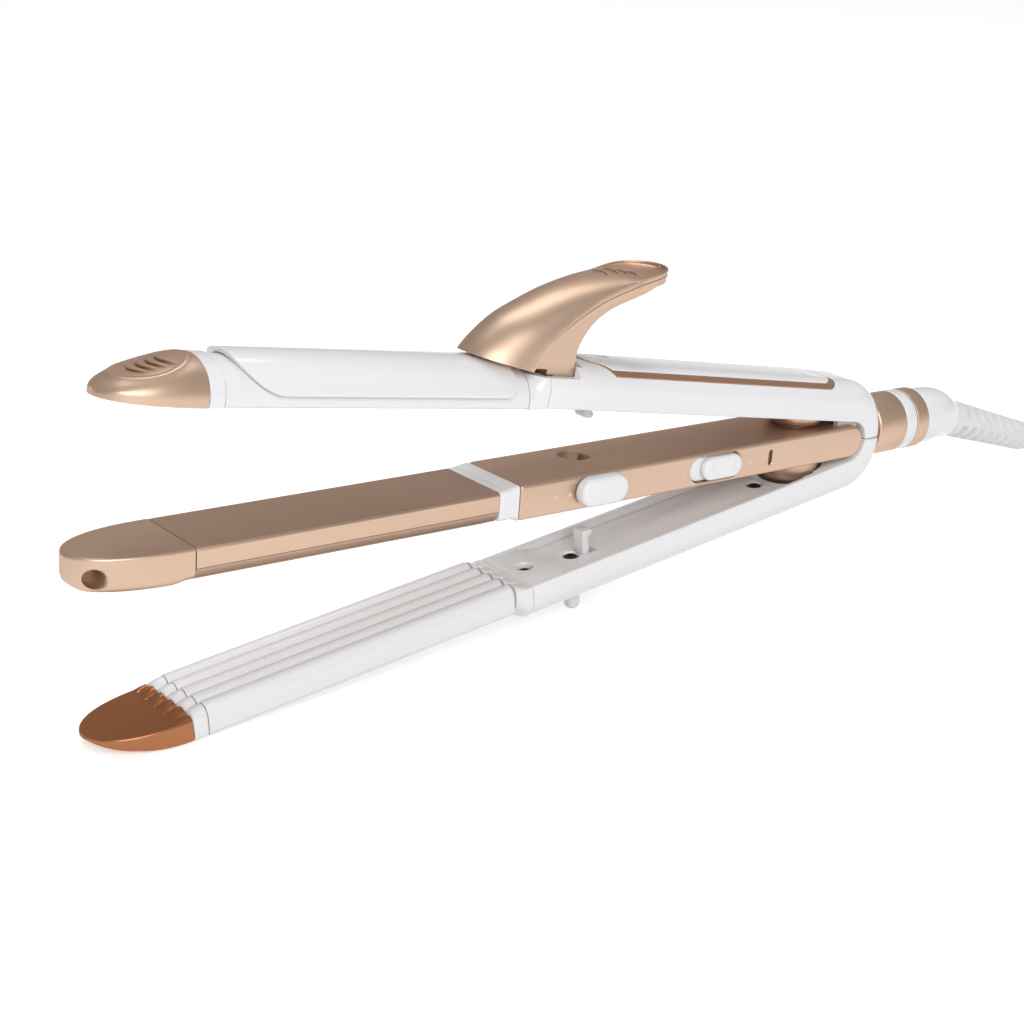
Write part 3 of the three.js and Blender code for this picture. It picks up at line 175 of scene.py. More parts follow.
NECK_REAR = 15.7
SPIGOT_RADIUS = 4
SPIGOT_REAR = 21
HOLE_FLOOR = 0.8
HOOK_ACROSS = 2.5
HOOK_END = 1.9
HOOK_HALF = 2.2
FLANGE_HALF = 3
FLANGE_THICK = 1.2
FLANGE_SLOT = 3.4
SCREW_BORE = 1.4
SCREW_SEAT = 2.3
RING_RADIUS = 9.6
RING_BORE = 4.3
WEB_HALF = 8
WEB_SLOT_REAR = -112.2
SLOT_HALF = 9.2
TEMPERATURE_X = -102
TEMPERATURE_TRAVEL = 6
POWER_X = -57
POWER_LENGTH = 20
POWER_HEIGHT = 7.6
POWER_KNOB_X = POWER_X + 2
LAMP_X = -34.8
ELBOW_X = 49.6
ELBOW_BEND = math.radians(16)
RELIEF_START = 8.2
RELIEF_LENGTH = 44.3
PAD_X = -94.3
PAD_LENGTH = 11.0
PAD_HALF = 9.2
DROOP = (Matrix.Translation((OUTER_COLLAR, 0, BARREL_Z))
         @ Matrix.Rotation(math.radians(-1.2), 4, "Y")
         @ Matrix.Translation((-OUTER_COLLAR, 0, 0)))


# ---- outlines and solids
def mix(a, b, t):
    """The value a share t of the way from a to b."""
    return a + (b - a) * t


def steps(count, a=0.0, b=1.0):
    """Values from a to b in this many equal steps, both ends included."""
    return [mix(a, b, i / count) for i in range(count + 1)]


def ease(t):
    """A share that starts and ends gently."""
    return t * t * (3 - 2 * t)


def arc(cx, cy, rx, ry, start, end, count):
    """Points of an ellipse's arc, with angles in degrees."""
    return [(cx + rx * math.cos(a), cy + ry * math.sin(a))
            for a in map(math.radians, steps(count, start, end))]


def slot_outline(cx, cy, length, height, count=14):
    """Two half rounds joined by straight sides, long in the first coordinate."""
    r = height / 2
    reach = length / 2 - r
    return (arc(cx + reach, cy, r, r, -90, 90, count)
            + arc(cx - reach, cy, r, r, 90, 270, count))


def circle(cx, cy, r, sides=48):
    """A round outline."""
    return arc(cx, cy, r, r, 0, 360 - 360 / sides, sides - 1)


def skin(rings, closed):
    """Points of the rings and the faces between them. A closed skin joins last to first."""
    count, total = len(rings[0]), len(rings)
    faces = []
    for i in range(total if closed else total - 1):
        m = (i + 1) % total
        for j in range(count - 1 if closed else count):
            k = (j + 1) % count
            faces.append((i * count + j, i * count + k, m * count + k, m * count + j))
    return [point for ring in rings for point in ring], faces


def loft(rings):
    """A solid through rings of equal point counts, with flat ends."""
    verts, faces = skin(rings, False)
    count, last = len(rings[0]), len(verts) - len(rings[0])
    return verts, faces + [tuple(range(count)), tuple(range(last, last + count))]


def pull(axis, outline, a, b):
    """An outline square to an axis, pulled from a to b. It is YZ for x, XZ for y, XY for z."""
    place = {
        "x": lambda u, v, w: (w, u, v),
        "y": lambda u, v, w: (u, w, v),
        "z": lambda u, v, w: (u, v, w),
    }[axis]
    return loft([[place(u, v, w) for u, v in outline] for w in (a, b)])


def bar(x, z, r, reach, sides=32):
    """A round bar across the object."""
    return pull("y", circle(x, z, r, sides), -reach, reach)


def block(x0, x1, y0, y1, z0, z1):
    """A box between two corners."""
    return pull("z", [(x0, y0), (x1, y0), (x1, y1), (x0, y1)], z0, z1)


def revolve(profile, sides=64):
    """A solid turned about the X axis, from pairs of distance along X and radius."""
    verts, faces = skin([[(x, r * math.cos(a), r * math.sin(a)) for x, r in profile]
                         for a in (2 * math.pi * k / sides for k in range(sides))], True)
    count = len(profile)
    for end in (0, count - 1):
        if profile[0] != profile[-1] and profile[end][1] > 0:
            faces.append(tuple(k * count + end for k in range(sides)))
    return verts, faces


def stand(solid, x, y, down=False):
    """A solid turned about X, stood upright on a place."""
    verts, faces = solid
    return [(x + b, y + c, -a if down else a) for a, b, c in verts], faces


def turned(matrix, solid):
    """A solid moved by a matrix."""
    verts, faces = solid
    return [tuple(matrix @ Vector(v)) for v in verts], faces


def both_sides(inner, outer):
    """The ranges of y from inner to outer on the near and on the far side."""
    return [(-outer, -inner), (inner, outer)]


def well(radius, floor, mouth, flare=0.5):
    """A round hole with a flared mouth, to cut from a face."""
    return revolve([(floor, 0), (floor, radius), (mouth - flare, radius),
                    (mouth, radius + flare), (mouth + 1, radius + flare), (mouth + 1, 0)], 56)


def slot_stack(x, z, length, height, rows, count, upright=False):
    """A slot-shaped solid that stands on the near side, from pairs of y and inset."""
    rings = []
    for y, inset in rows:
        outline = slot_outline(0, 0, length - 2 * inset, height - 2 * inset, count)
        rings.append([(x + v, y, z + u) if upright else (x + u, y, z + v) for u, v in outline])
    return loft(rings)


def flared_slot(x, length, height, depth, flare, upright=False):
    """A slot to cut from the near side, with a flared mouth."""
    rows = ((-HALF_W - 1, -flare), (-HALF_W, -flare), (flare - HALF_W, 0), (depth - HALF_W, 0))
    return slot_stack(x, 0, length, height, rows, 16, upright)


# ---- pieces
def add_object(name, data):
    """Puts an object into the scene."""
    thing = bpy.data.objects.new(name, data)
    bpy.context.scene.collection.objects.link(thing)
    return thing


def mesh_piece(name, verts, edges=(), faces=()):
    """A mesh object in the scene."""
    mesh = bpy.data.meshes.new(name)
    mesh.from_pydata(verts, list(edges), list(faces))
    return add_object(name, mesh)


def raw_piece(name, solid):
    """An object, still in millimetres, whose faces point outwards."""
    verts, faces = solid
    piece = mesh_piece(name, verts, (), faces)
    shell = bmesh.new()
    shell.from_mesh(piece.data)
    bmesh.ops.remove_doubles(shell, verts=shell.verts, dist=1e-4)
    bmesh.ops.dissolve_degenerate(shell, edges=shell.edges, dist=1e-4)
    bmesh.ops.recalc_face_normals(shell, faces=shell.faces)
    shell.to_mesh(piece.data)
    shell.free()
    return piece


def bake(piece):
    """Turns the piece's modifiers into plain mesh."""
    graph = bpy.context.evaluated_depsgraph_get()
    graph.update()
    mesh = bpy.data.meshes.new_from_object(piece.evaluated_get(graph), depsgraph=graph)
    piece.modifiers.clear()
    piece.data = mesh
    return piece


def cut_with(piece, tools, operation):
    """Runs one boolean for each tool object on the piece, then removes the tools."""
    for tool in tools:
        step = piece.modifiers.new("combine", "BOOLEAN")
        step.operation, step.solver, step.object = operation, "EXACT", tool
    bake(piece)
    for tool in tools:
        bpy.data.objects.remove(tool)
    return piece


def combine(piece, solids, operation):
    """Cuts solids from the piece, joins them to it or keeps what they share."""
    return cut_with(piece, [raw_piece("tool", solid) for solid in solids], operation)


def carve(piece, *solids):
    """Cuts solids from the piece."""
    return combine(piece, solids, "DIFFERENCE")


def add_on(piece, *solids):
    """Joins solids to the piece."""
    return combine(piece, solids, "UNION")


def soften(piece, width, angle=40, segments=3):
    """Rounds the piece's sharp edges."""
    step = piece.modifiers.new("soften", "BEVEL")
    step.width, step.segments = width, segments
    step.limit_method, step.angle_limit = "ANGLE", math.radians(angle)
    step.use_clamp_overlap, step.harden_normals = True, False
    return bake(piece)


def settle(piece, body, paint, nodes=(), sharp=32, turn=None):
    """Puts a piece in its place in the frame, with its finish, its body and its nodes."""
    piece.data.transform(ARM[body] @ turn if turn else ARM[body])
    tidy = bmesh.new()
    tidy.from_mesh(piece.data)
    bmesh.ops.remove_doubles(tidy, verts=tidy.verts, dist=1e-7)
    bmesh.ops.recalc_face_normals(tidy, faces=tidy.faces)
    for face in tidy.faces:
        face.smooth = True
    for edge in tidy.edges:
        if len(edge.link_faces) == 2:
            edge.smooth = edge.calc_face_angle(0) < math.radians(sharp)
    tidy.to_mesh(piece.data)
    tidy.free()
    piece.data.materials.clear()
    piece.data.materials.append(MATERIALS[paint])
    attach(piece, body)
    if nodes:
        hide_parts(*nodes)


# ---- shared sections
def round_rect(x, w, z0, z1, r, foot=None):
    """A rectangle with round corners, square to X. foot is the lower corners' radius."""
    low = foot or r
    return [(x, y, z) for y, z in (
        arc(w - r, z1 - r, r, r, 0, 90, 7) + arc(r - w, z1 - r, r, r, 90, 180, 7)
        + arc(low - w, z0 + low, low, low, 180, 270, 7)
        + arc(w - low, z0 + low, low, low, 270, 360, 7))]


def dome(w, depth, side, reach, inset=0.0, count=14):
    """Flat foot, straight sides and a round crown. reach is how far in the rounding comes."""
    a, b = reach - inset, depth - side - inset
    return ([(w - inset, 0)] + arc(w - reach, side, a, b, 0, 90, count)
            + arc(reach - w, side, a, b, 90, 180, count) + [(inset - w, 0)])


def handle_shell(up, depth, lift, inset=0.0):
    """An outer handle: straight along its rim, then round the hinge to the seam."""
    rings = []

    def place(x, rim, nx, nz, deep):
        section = dome(HALF_W, deep, deep * SIDE_SHARE, ROUNDING, inset)
        rings.append([(x + nx * d, y, up * (rim + nz * d)) for y, d in section])

    for t in steps(8):
        place(OUTER_FRONT * (1 - t), RIM + lift * (1 - t), 0, 1, depth)
    seam = math.pi / 2 - math.radians(OPEN_DEG[up]) - GAP / 2 / RIM
    for a in (seam * i / 24 for i in range(1, 25)):
        deep = mix(depth, WALL_AT_SEAM, math.sin(a) ** 2)
        place(RIM * math.sin(a), RIM * math.cos(a), math.sin(a), math.cos(a), deep)
    return loft(rings)


def neck_room(up):
    """Room for the middle arm's neck while the arm swings."""
    return [turned(Matrix.Rotation(math.radians(-up * OPEN_DEG[up] * t), 4, "Y"),
                   pull("x", circle(0, 0, NECK_RADIUS + 0.9, 40), 4, 30)) for t in steps(2)]


def cup_pocket(up):
    """Pocket in a handle for the spring cup."""
    swing = 10 * math.sin(math.radians(OPEN_DEG[up]))
    across = 2 * (BOSS_RADIUS + 0.25)
    outline = slot_outline(BOSS_X - swing / 2, 0, across + swing, across, 24)
    low, high = (RIM - 1, BOSS_TOP + 1) if up > 0 else (-BOSS_TOP - 1, 1 - RIM)
    return pull("z", outline, low, high)


def lugs(up, inner):
    """The pair of lugs that reach from a handle to the pin."""
    start, r = 180 if up > 0 else 0, LUG_RADIUS
    outline = arc(0, 0, r, r, start, start + 180, 20) + [
        (up * r, up * (FLOOR + 1)), (-up * r, up * (FLOOR + 1))]
    return [pull("y", outline, a, b) for a, b in both_sides(inner, inner + LUG_THICK)]


def ridge(y, height):
    """How far a wave's surface lies under its crest, at y across the plate."""
    phase = abs(((y / PITCH + 0.5) % 1 + 1) % 1 - 0.5) * 2
    return height * (1 - math.sqrt(1 - (0.95 * phase) ** 2)) / (1 - math.sqrt(1 - 0.95 ** 2))


def crimp_ring(x, w, crest, bottom, share, height, corner=HEAD_CORNER, phase=0.0, brow=0.35):
    """Section of the crimping head: waves across the top, round lower corners and small
    upper ones of radius brow."""
    brow = min(brow, w * 0.4)
    edge = min(RIDGES * PITCH / 2, w - brow)
    waves = []
    for y in steps(RIDGES * 20, edge, -edge):
        lift = share * (1 - (abs(y) / w) ** 6) if phase else share
        waves.append((y, mix(SHOULDER, crest - ridge(y + phase, height), lift)))
    r = min(corner, (SHOULDER - bottom) * 0.6, w * 0.8)
    outline = (arc(w - brow, SHOULDER - brow, brow, brow, 0, 70, 4) + waves
               + arc(brow - w, SHOULDER - brow, brow, brow, 110, 180, 4)
               + arc(r - w, bottom + r, r, r, 180, 270, 10)
               + arc(w - r, bottom + r, r, r, 270, 360, 10))
    return [(x, y, z) for y, z in outline]


def tip_half(t, w, power):
    """Half the plan width of a tip at share t of its length."""
    return w * math.sqrt(max(0.0, 1 - t ** power))


def half_round(w, h):
    """The barrel's half ellipse, standing on the flat plate."""
    return arc(0, SLAB, w, h, 0, 180, 72)


def panel_prism(e):
    """The plan of the upper handle's panel, shrunk by e, as a tall solid."""
    half, r, rear = PANEL_HALF - e, 5 - e * 0.5, PANEL_REAR - e
    front = [(PANEL_FRONT + e + 6.5 * (y / PANEL_HALF) ** 2, y) for y in steps(24, half, -half)]
    plan = (front + arc(rear - r, r - half, r, r, -90, 0, 14)
            + arc(rear - r, half - r, r, r, 0, 90, 14))
    return pull("z", plan, UPPER_CROWN - 7, UPPER_CROWN + 4)


# ---- node trees
def add_nodes(tree, kinds):
    """Adds named nodes. Each is a kind, or a kind with settings, in small letters, and inputs."""
    for name, entry in kinds.items():
        kind, values = (entry, {}) if isinstance(entry, str) else entry
        node = tree.nodes.new(kind)
        node.name = name
        for key, value in values.items():
            if isinstance(key, str) and key[0].islower():
                setattr(node, key, value)
            else:
                node.inputs[key].default_value = value


def join(tree, *links):
    """Joins sockets. A link reads 'node.output > node.input', by name or number."""
    for link in links:
        (a, out), (b, into) = [end.split(".") for end in link.split(" > ")]
        tree.links.new(tree.nodes[a].outputs[int(out) if out.isdigit() else out],
                       tree.nodes[b].inputs[int(into) if into.isdigit() else into])


def maths(operation, **values):
    """A maths node's entry for add_nodes. Its inputs are a, b and c."""
    return "ShaderNodeMath", {"operation": operation,
                              **{"abc".index(key): value for key, value in values.items()}}


def new_tree(name, kind, inputs, outputs):
    """A node tree with named inputs, each a name, a kind and maybe a value, and outputs."""
    tree = bpy.data.node_groups.new(name, kind)
    for way, sockets in (("INPUT", inputs), ("OUTPUT", outputs)):
        for key, socket_kind, *value in sockets:
            socket = tree.interface.new_socket(name=key, in_out=way,
                                               socket_type="NodeSocket" + socket_kind)
            if value:
                socket.default_value = value[0]
    add_nodes(tree, {"entry": "NodeGroupInput", "leave": "NodeGroupOutput"})
    return tree


def fine_grain_group():
    """Fine grain and a broad drift of tone, shared by the painted and moulded finishes."""
    tree = new_tree("Fine grain", "ShaderNodeTree", [
        ("Colour", "Color", (0.8, 0.8, 0.8, 1)), ("Deep colour", "Color", (0.6, 0.6, 0.6, 1)),
        ("Grain size", "Float", 4000.0), ("Grain contrast", "Float", 0.1),
        ("Roughness", "Float", 0.3), ("Roughness spread", "Float", 0.05),
        ("Bump", "Float", 0.1)],
        [("Colour", "Color"), ("Roughness", "Float"), ("Normal", "Vector")])
    add_nodes(tree, {
        "place": "ShaderNodeTexCoord",
        "grain": ("ShaderNodeTexNoise", {"Detail": 2}),
        "drift": ("ShaderNodeTexNoise", {"Scale": 28, "Detail": 3}),
        "centre": maths("SUBTRACT", b=0.5),
        "amount": maths("MULTIPLY_ADD"),
        "soft": ("ShaderNodeMapRange", {"From Min": 0.35, "From Max": 0.75, "To Max": 0.35}),
        "blend": ("ShaderNodeMix", {"data_type": "RGBA"}),
        "rough": maths("MULTIPLY_ADD"),
        "bump": ("ShaderNodeBump", {"Distance": 0.00002})})
    join(tree, "place.Object > grain.Vector", "place.Object > drift.Vector",
         "entry.Grain size > grain.Scale", "grain.Fac > centre.0", "centre.0 > amount.0",
         "entry.Grain contrast > amount.1", "drift.Fac > soft.Value", "soft.Result > amount.2",
         "amount.0 > blend.Factor", "entry.Colour > blend.A", "entry.Deep colour > blend.B",
         "blend.Result > leave.Colour", "centre.0 > rough.0",
         "entry.Roughness spread > rough.1", "entry.Roughness > rough.2",
         "rough.0 > leave.Roughness", "entry.Bump > bump.Strength", "grain.Fac > bump.Height",
         "bump.Normal > leave.Normal")
    return tree


def edge_sheen_group():
    """Where the surface turns sharply, a lighter colour in patches: a painted edge sheen."""
    tree = new_tree("Painted edge sheen", "ShaderNodeTree", [
        ("Colour", "Color", (0.8, 0.8, 0.8, 1)), ("Worn colour", "Color", (0.9, 0.9, 0.9, 1)),
        ("Amount", "Float", 0.3)], [("Colour", "Color")])
    # Painted highlight: a lighter colour where the bevelled normal turns away from the face's,
    # broken into patches by noise.
    add_nodes(tree, {
        "shape": "ShaderNodeNewGeometry",
        "rounded": ("ShaderNodeBevel", {"samples": 4, "Radius": 0.0005}),
        "place": "ShaderNodeTexCoord",
        "patchy": ("ShaderNodeTexNoise", {"Scale": 260}),
        "facing": ("ShaderNodeVectorMath", {"operation": "DOT_PRODUCT"}),
        "edge": ("ShaderNodeMapRange", {"From Min": 0.99, "From Max": 0.9}),
        "worn": maths("MULTIPLY"),
        "share": maths("MULTIPLY"),
        "blend": ("ShaderNodeMix", {"data_type": "RGBA"})})
    join(tree, "place.Object > patchy.Vector", "shape.Normal > facing.0",
         "rounded.Normal > facing.1", "facing.Value > edge.Value", "edge.Result > worn.0",
         "patchy.Fac > worn.1", "worn.0 > share.0", "entry.Amount > share.1",
         "share.0 > blend.Factor", "entry.Colour > blend.A", "entry.Worn colour > blend.B",
         "blend.Result > leave.Colour")
    return tree


GRAIN = fine_grain_group()
EDGE_SHEEN = edge_sheen_group()


def finish(name, colour, deep, rough, metal=0.0, grain=4000, contrast=0.1, spread=0.05,
           bump=0.08, coat=0.0, coat_rough=0.1, worn=None, sheen_strength=0.0, graze=(1, 1, 1)):
    """A material: the grain group, then a painted edge sheen, into a Principled BSDF. A metal's
    reflections are tinted by graze where they glance off it."""
    material = bpy.data.materials.new(name)
    material.use_nodes = True
    tree = material.node_tree
    add_nodes(tree, {"surface": ("ShaderNodeGroup", {
        "node_tree": GRAIN, "Colour": (*colour, 1), "Deep colour": (*deep, 1),
        "Grain size": grain, "Grain contrast": contrast, "Roughness": rough,
        "Roughness spread": spread, "Bump": bump})})
    # The painted edge sheen lays a lighter colour on sharp edges, standing in for the light they
    # catch.
    if sheen_strength:
        add_nodes(tree, {"tone": ("ShaderNodeGroup", {
            "node_tree": EDGE_SHEEN, "Worn colour": (*worn, 1), "Amount": sheen_strength})})
        join(tree, "surface.Colour > tone.Colour")
    tone = "tone" if sheen_strength else "surface"
    join(tree, tone + ".Colour > Principled BSDF.Base Color",
         "surface.Roughness > Principled BSDF.Roughness",
         "surface.Normal > Principled BSDF.Normal")
    for key, value in (("Metallic", metal), ("Specular Tint", (*graze, 1)),
                       ("Coat Weight", coat), ("Coat Roughness", coat_rough)):
        tree.nodes["Principled BSDF"].inputs[key].default_value = value
    return material


MATERIALS = {}
ROSE_GRAZE = (0.88, 0.7, 0.63)
COPPER_GRAZE = (1, 0.66, 0.52)
TRIM = (0.52, 0.29, 0.175)
PAINT = {"metal": 0.9, "grain": 5200, "contrast": 0.2, "spread": 0.12, "bump": 0.1}
TURNED = {"grain": 1800, "contrast": 0.3, "spread": 0.1, "bump": 0.1}


def make_materials(settings):
    """All the finishes, from the user's colours."""
    rose, copper, white, amber = settings.rose, settings.copper, settings.white, settings.amber

    def shade(colour, share):
        return [min(1, c * share) for c in colour]

    MATERIALS.update({
        # The rose gold and copper paints carry a painted edge sheen, a lighter copy of the paint
        # along their edges.
        "rose": finish("Rose gold paint", rose, shade(rose, 0.86), 0.41, **PAINT, coat=0.3,
                       coat_rough=0.4, worn=shade(rose, 1.25), sheen_strength=0.5, graze=ROSE_GRAZE),
        "plate": finish("Rose gold plate", shade(rose, 0.97), shade(rose, 0.86), 0.3,
                        metal=0.92, grain=3600, contrast=0.12, spread=0.08, bump=0.05,
                        coat=0.1, coat_rough=0.2, graze=ROSE_GRAZE),
        "copper": finish("Copper paint", copper, shade(copper, 0.8), 0.32, metal=0.9,
                         grain=5200, contrast=0.25, spread=0.16, bump=0.14, coat=0.15,
                         coat_rough=0.25, worn=shade(copper, 1.35), sheen_strength=0.6,
                         graze=COPPER_GRAZE),
        "trim": finish("Trim paint", TRIM, shade(TRIM, 0.9), 0.4, **PAINT, coat=0.2,
                       coat_rough=0.3),
        "white": finish("Gloss white moulding", white, shade(white, 0.97), 0.22, grain=900,
                        spread=0.04, bump=0.03, coat=0.3, coat_rough=0.08),
        "ceramic": finish("White ceramic coat", shade(white, 0.99), shade(white, 0.96), 0.3,
                          grain=3000, contrast=0.05, bump=0.01),
        "soft": finish("Soft white sleeve", shade(white, 0.95), shade(white, 0.9), 0.5,
                       grain=2200, contrast=0.2, spread=0.1, bump=0.2),
        "mark": finish("Printed mark", (0.72, 0.6, 0.5), (0.68, 0.56, 0.46), 0.4),
        "dark": finish("Shadowed well", (0.03, 0.028, 0.026), (0.02, 0.02, 0.02), 0.7),
        # Near black: dark steel, darkened further as painted shade for the deep screw holes.
        "screw": finish("Dark screw with painted hole shade", (0.05, 0.045, 0.04), (0.03, 0.03, 0.03), 0.5,
                        metal=0.8, **TURNED),
        "steel": finish("Turned steel", (0.55, 0.54, 0.53), (0.4, 0.4, 0.4), 0.3, metal=1.0,
                        **TURNED),
        "amber": finish("Amber lens", amber, shade(amber, 0.6), 0.2, grain=1200, spread=0.05,
                        bump=0.02, coat=0.4, coat_rough=0.05)})


class StylerSettings(bpy.types.PropertyGroup):
    """Sizes and colours a user would change."""

    rose: FloatVectorProperty(
        name="Rose gold", description="Paint of the middle arm, the lever and the upper tip",
        subtype="COLOR", size=3, min=0, max=1, default=(0.62, 0.44, 0.325))
    copper: FloatVectorProperty(
        name="Copper", description="Paint of the lower tip",
        subtype="COLOR", size=3, min=0, max=1, default=(0.41, 0.168, 0.074))
    white: FloatVectorProperty(
        name="White", description="Moulded handles, barrel and clamp",
        subtype="COLOR", size=3, min=0, max=1, default=(0.8, 0.8, 0.815))
    amber: FloatVectorProperty(
        name="Amber", description="Indicator lamp's lens",
        subtype="COLOR", size=3, min=0, max=1, default=(0.1, 0.035, 0.01))
    ridge_height: FloatProperty(
        name="Ridge height", description="Height of the crimping ridges, in millimetres",
        default=RIDGE_DEPTH, min=1.0, max=RIDGE_DEPTH)
    crescents: IntProperty(
        name="Grip ridges", description="Curved ridges on the thumb pad and the upper tip",
        default=4, min=2, max=5)
    windows: IntProperty(
        name="Relief windows", description="Windows in each row of the strain relief",
        default=8, min=4, max=12)
    lamp_level: FloatProperty(
        name="Lamp level", description="Strength of the studio lamps against their usual level",
        default=1.0, min=0.2, max=2.0)


# ---- repeated things
def geometry_tree(name, *inputs):
    """A geometry tree with a geometry input and output, named inputs and a material."""
    return new_tree(name, "GeometryNodeTree", [("Geometry", "Geometry"), *inputs,
                                               ("Material", "Material")],
                    [("Geometry", "Geometry")])


def paint_result(tree, source):
    """Ends a geometry tree: its copies become real and take the material."""
    add_nodes(tree, {"real": "GeometryNodeRealizeInstances",
                     "paint": "GeometryNodeSetMaterial"})
    join(tree, source + " > real.Geometry", "real.Geometry > paint.Geometry",
         "entry.Material > paint.Material", "paint.Geometry > leave.Geometry")
    return tree


def run_tree(piece, tree, paint, values):
    """Runs a geometry tree on a piece with these values, and keeps the result as mesh."""
    step = piece.modifiers.new(tree.name, "NODES")
    step.node_group = tree
    keys = {item.name: item.identifier for item in tree.interface.items_tree
            if item.item_type == "SOCKET" and item.in_out == "INPUT"}
    for name, value in {**values, "Material": MATERIALS[paint]}.items():
        step[keys[name]] = value
    return bake(piece)


def bead_tree():
    """A round bead along each line of the input, thin at both ends."""
    tree = geometry_tree("Bead along a line", ("Radius", "Float", 0.5), ("Sides", "Int", 12))
    add_nodes(tree, {
        "curve": "GeometryNodeMeshToCurve",
        "ring": "GeometryNodeCurvePrimitiveCircle",
        "share": "GeometryNodeSplineParameter",
        "bow": maths("PINGPONG", b=0.5),
        "rise": maths("POWER", b=0.45),
        "size": maths("MAXIMUM", b=0.12),
        "sweep": ("GeometryNodeCurveToMesh", {"Fill Caps": True})})
    join(tree, "entry.Geometry > curve.Mesh", "share.Factor > bow.0", "bow.0 > rise.0",
         "rise.0 > size.0", "entry.Radius > ring.Radius", "entry.Sides > ring.Resolution",
         "curve.Curve > sweep.Curve", "size.0 > sweep.Scale",
         "ring.Curve > sweep.Profile Curve")
    return paint_result(tree, "sweep.Mesh")


def scatter_tree():
    """A copy of one object on every point of the input, scaled by the point's size."""
    tree = geometry_tree("Copy on points", ("Object", "Object"))
    add_nodes(tree, {
        "source": "GeometryNodeObjectInfo",
        "size": ("GeometryNodeInputNamedAttribute", {"data_type": "FLOAT", "Name": "size"}),
        "copies": "GeometryNodeInstanceOnPoints"})
    join(tree, "entry.Object > source.Object", "entry.Geometry > copies.Points",
         "source.Geometry > copies.Instance", "size.Attribute > copies.Scale")
    return paint_result(tree, "copies.Instances")


def window_tree():
    """Rows of windows cut round a sleeve that lies along X."""
    tree = geometry_tree(
        "Windows round a sleeve", ("Count", "Int", 8), ("Rows", "Int", 4),
        ("Start", "Float", 0.0), ("Pitch", "Float", 4.0), ("Width", "Float", 2.0),
        ("Across", "Float", 5.0), ("Radius", "Float", 6.0), ("Depth", "Float", 1.4))
    add_nodes(tree, {
        "line": "GeometryNodeMeshLine",
        "step": "ShaderNodeCombineXYZ",
        "first": "ShaderNodeCombineXYZ",
        "size": "ShaderNodeCombineXYZ",
        "double": maths("MULTIPLY", b=2),
        "cube": "GeometryNodeMeshCube",
        "lift": "ShaderNodeCombineXYZ",
        "rise": "GeometryNodeSetPosition",
        "copies": "GeometryNodeInstanceOnPoints",
        "row": "GeometryNodeRealizeInstances",
        "around": ("GeometryNodeMeshLine", {"Offset": (0, 0, 0)}),
        "index": "GeometryNodeInputIndex",
        "angle": maths("MULTIPLY_ADD", b=math.pi / 2, c=math.pi / 4),
        "spin": "ShaderNodeCombineXYZ",
        "turn": "FunctionNodeEulerToRotation",
        "turns": "GeometryNodeInstanceOnPoints",
        "tools": "GeometryNodeRealizeInstances",
        "cut": ("GeometryNodeMeshBoolean", {"operation": "DIFFERENCE"})})
    join(tree, "entry.Count > line.Count", "entry.Pitch > step.X", "step.0 > line.Offset",
         "entry.Start > first.X", "first.0 > line.Start Location", "entry.Width > size.X",
         "entry.Across > size.Y", "entry.Depth > double.0", "double.0 > size.Z",
         "size.0 > cube.Size", "entry.Radius > lift.Z", "cube.Mesh > rise.Geometry",
         "lift.0 > rise.Offset", "line.Mesh > copies.Points",
         "rise.Geometry > copies.Instance", "copies.Instances > row.Geometry",
         "entry.Rows > around.Count", "index.0 > angle.0", "angle.0 > spin.X",
         "spin.0 > turn.0", "around.Mesh > turns.Points", "row.Geometry > turns.Instance",
         "turn.0 > turns.Rotation", "turns.Instances > tools.Geometry",
         "entry.Geometry > cut.Mesh 1", "tools.Geometry > cut.Mesh 2")
    return paint_result(tree, "cut.Mesh")


def copies_piece(name, places, source, body, paint, nodes=()):
    """Copies of a source on places, which are x, y, z and a size. The source goes."""
    piece = mesh_piece(name, [place[:3] for place in places])
    sizes = piece.data.attributes.new("size", "FLOAT", "POINT")
    for i, place in enumerate(places):
        sizes.data[i].value = place[3]
    run_tree(piece, scatter_tree(), paint, {"Object": source})
    bpy.data.objects.remove(source)
    settle(piece, body, paint, nodes)


def beads(name, lines, body, radius, sides=12, turn=None):
    """Round beads along open lines, in rose gold paint."""
    verts, edges = [], []
    for line in lines:
        edges += [(len(verts) + i, len(verts) + i + 1) for i in range(len(line) - 1)]
        verts += line
    piece = mesh_piece(name, verts, edges)
    run_tree(piece, bead_tree(), "rose", {"Radius": radius, "Sides": sides})
    settle(piece, body, "rose", turn=turn)


def crescents(settings, point):
    """Lines of the grip ridges, from a ridge's number and a share across from -1 to 1."""
    return [[point(i, k) for k in steps(16, -1, 1)] for i in range(settings.crescents)]


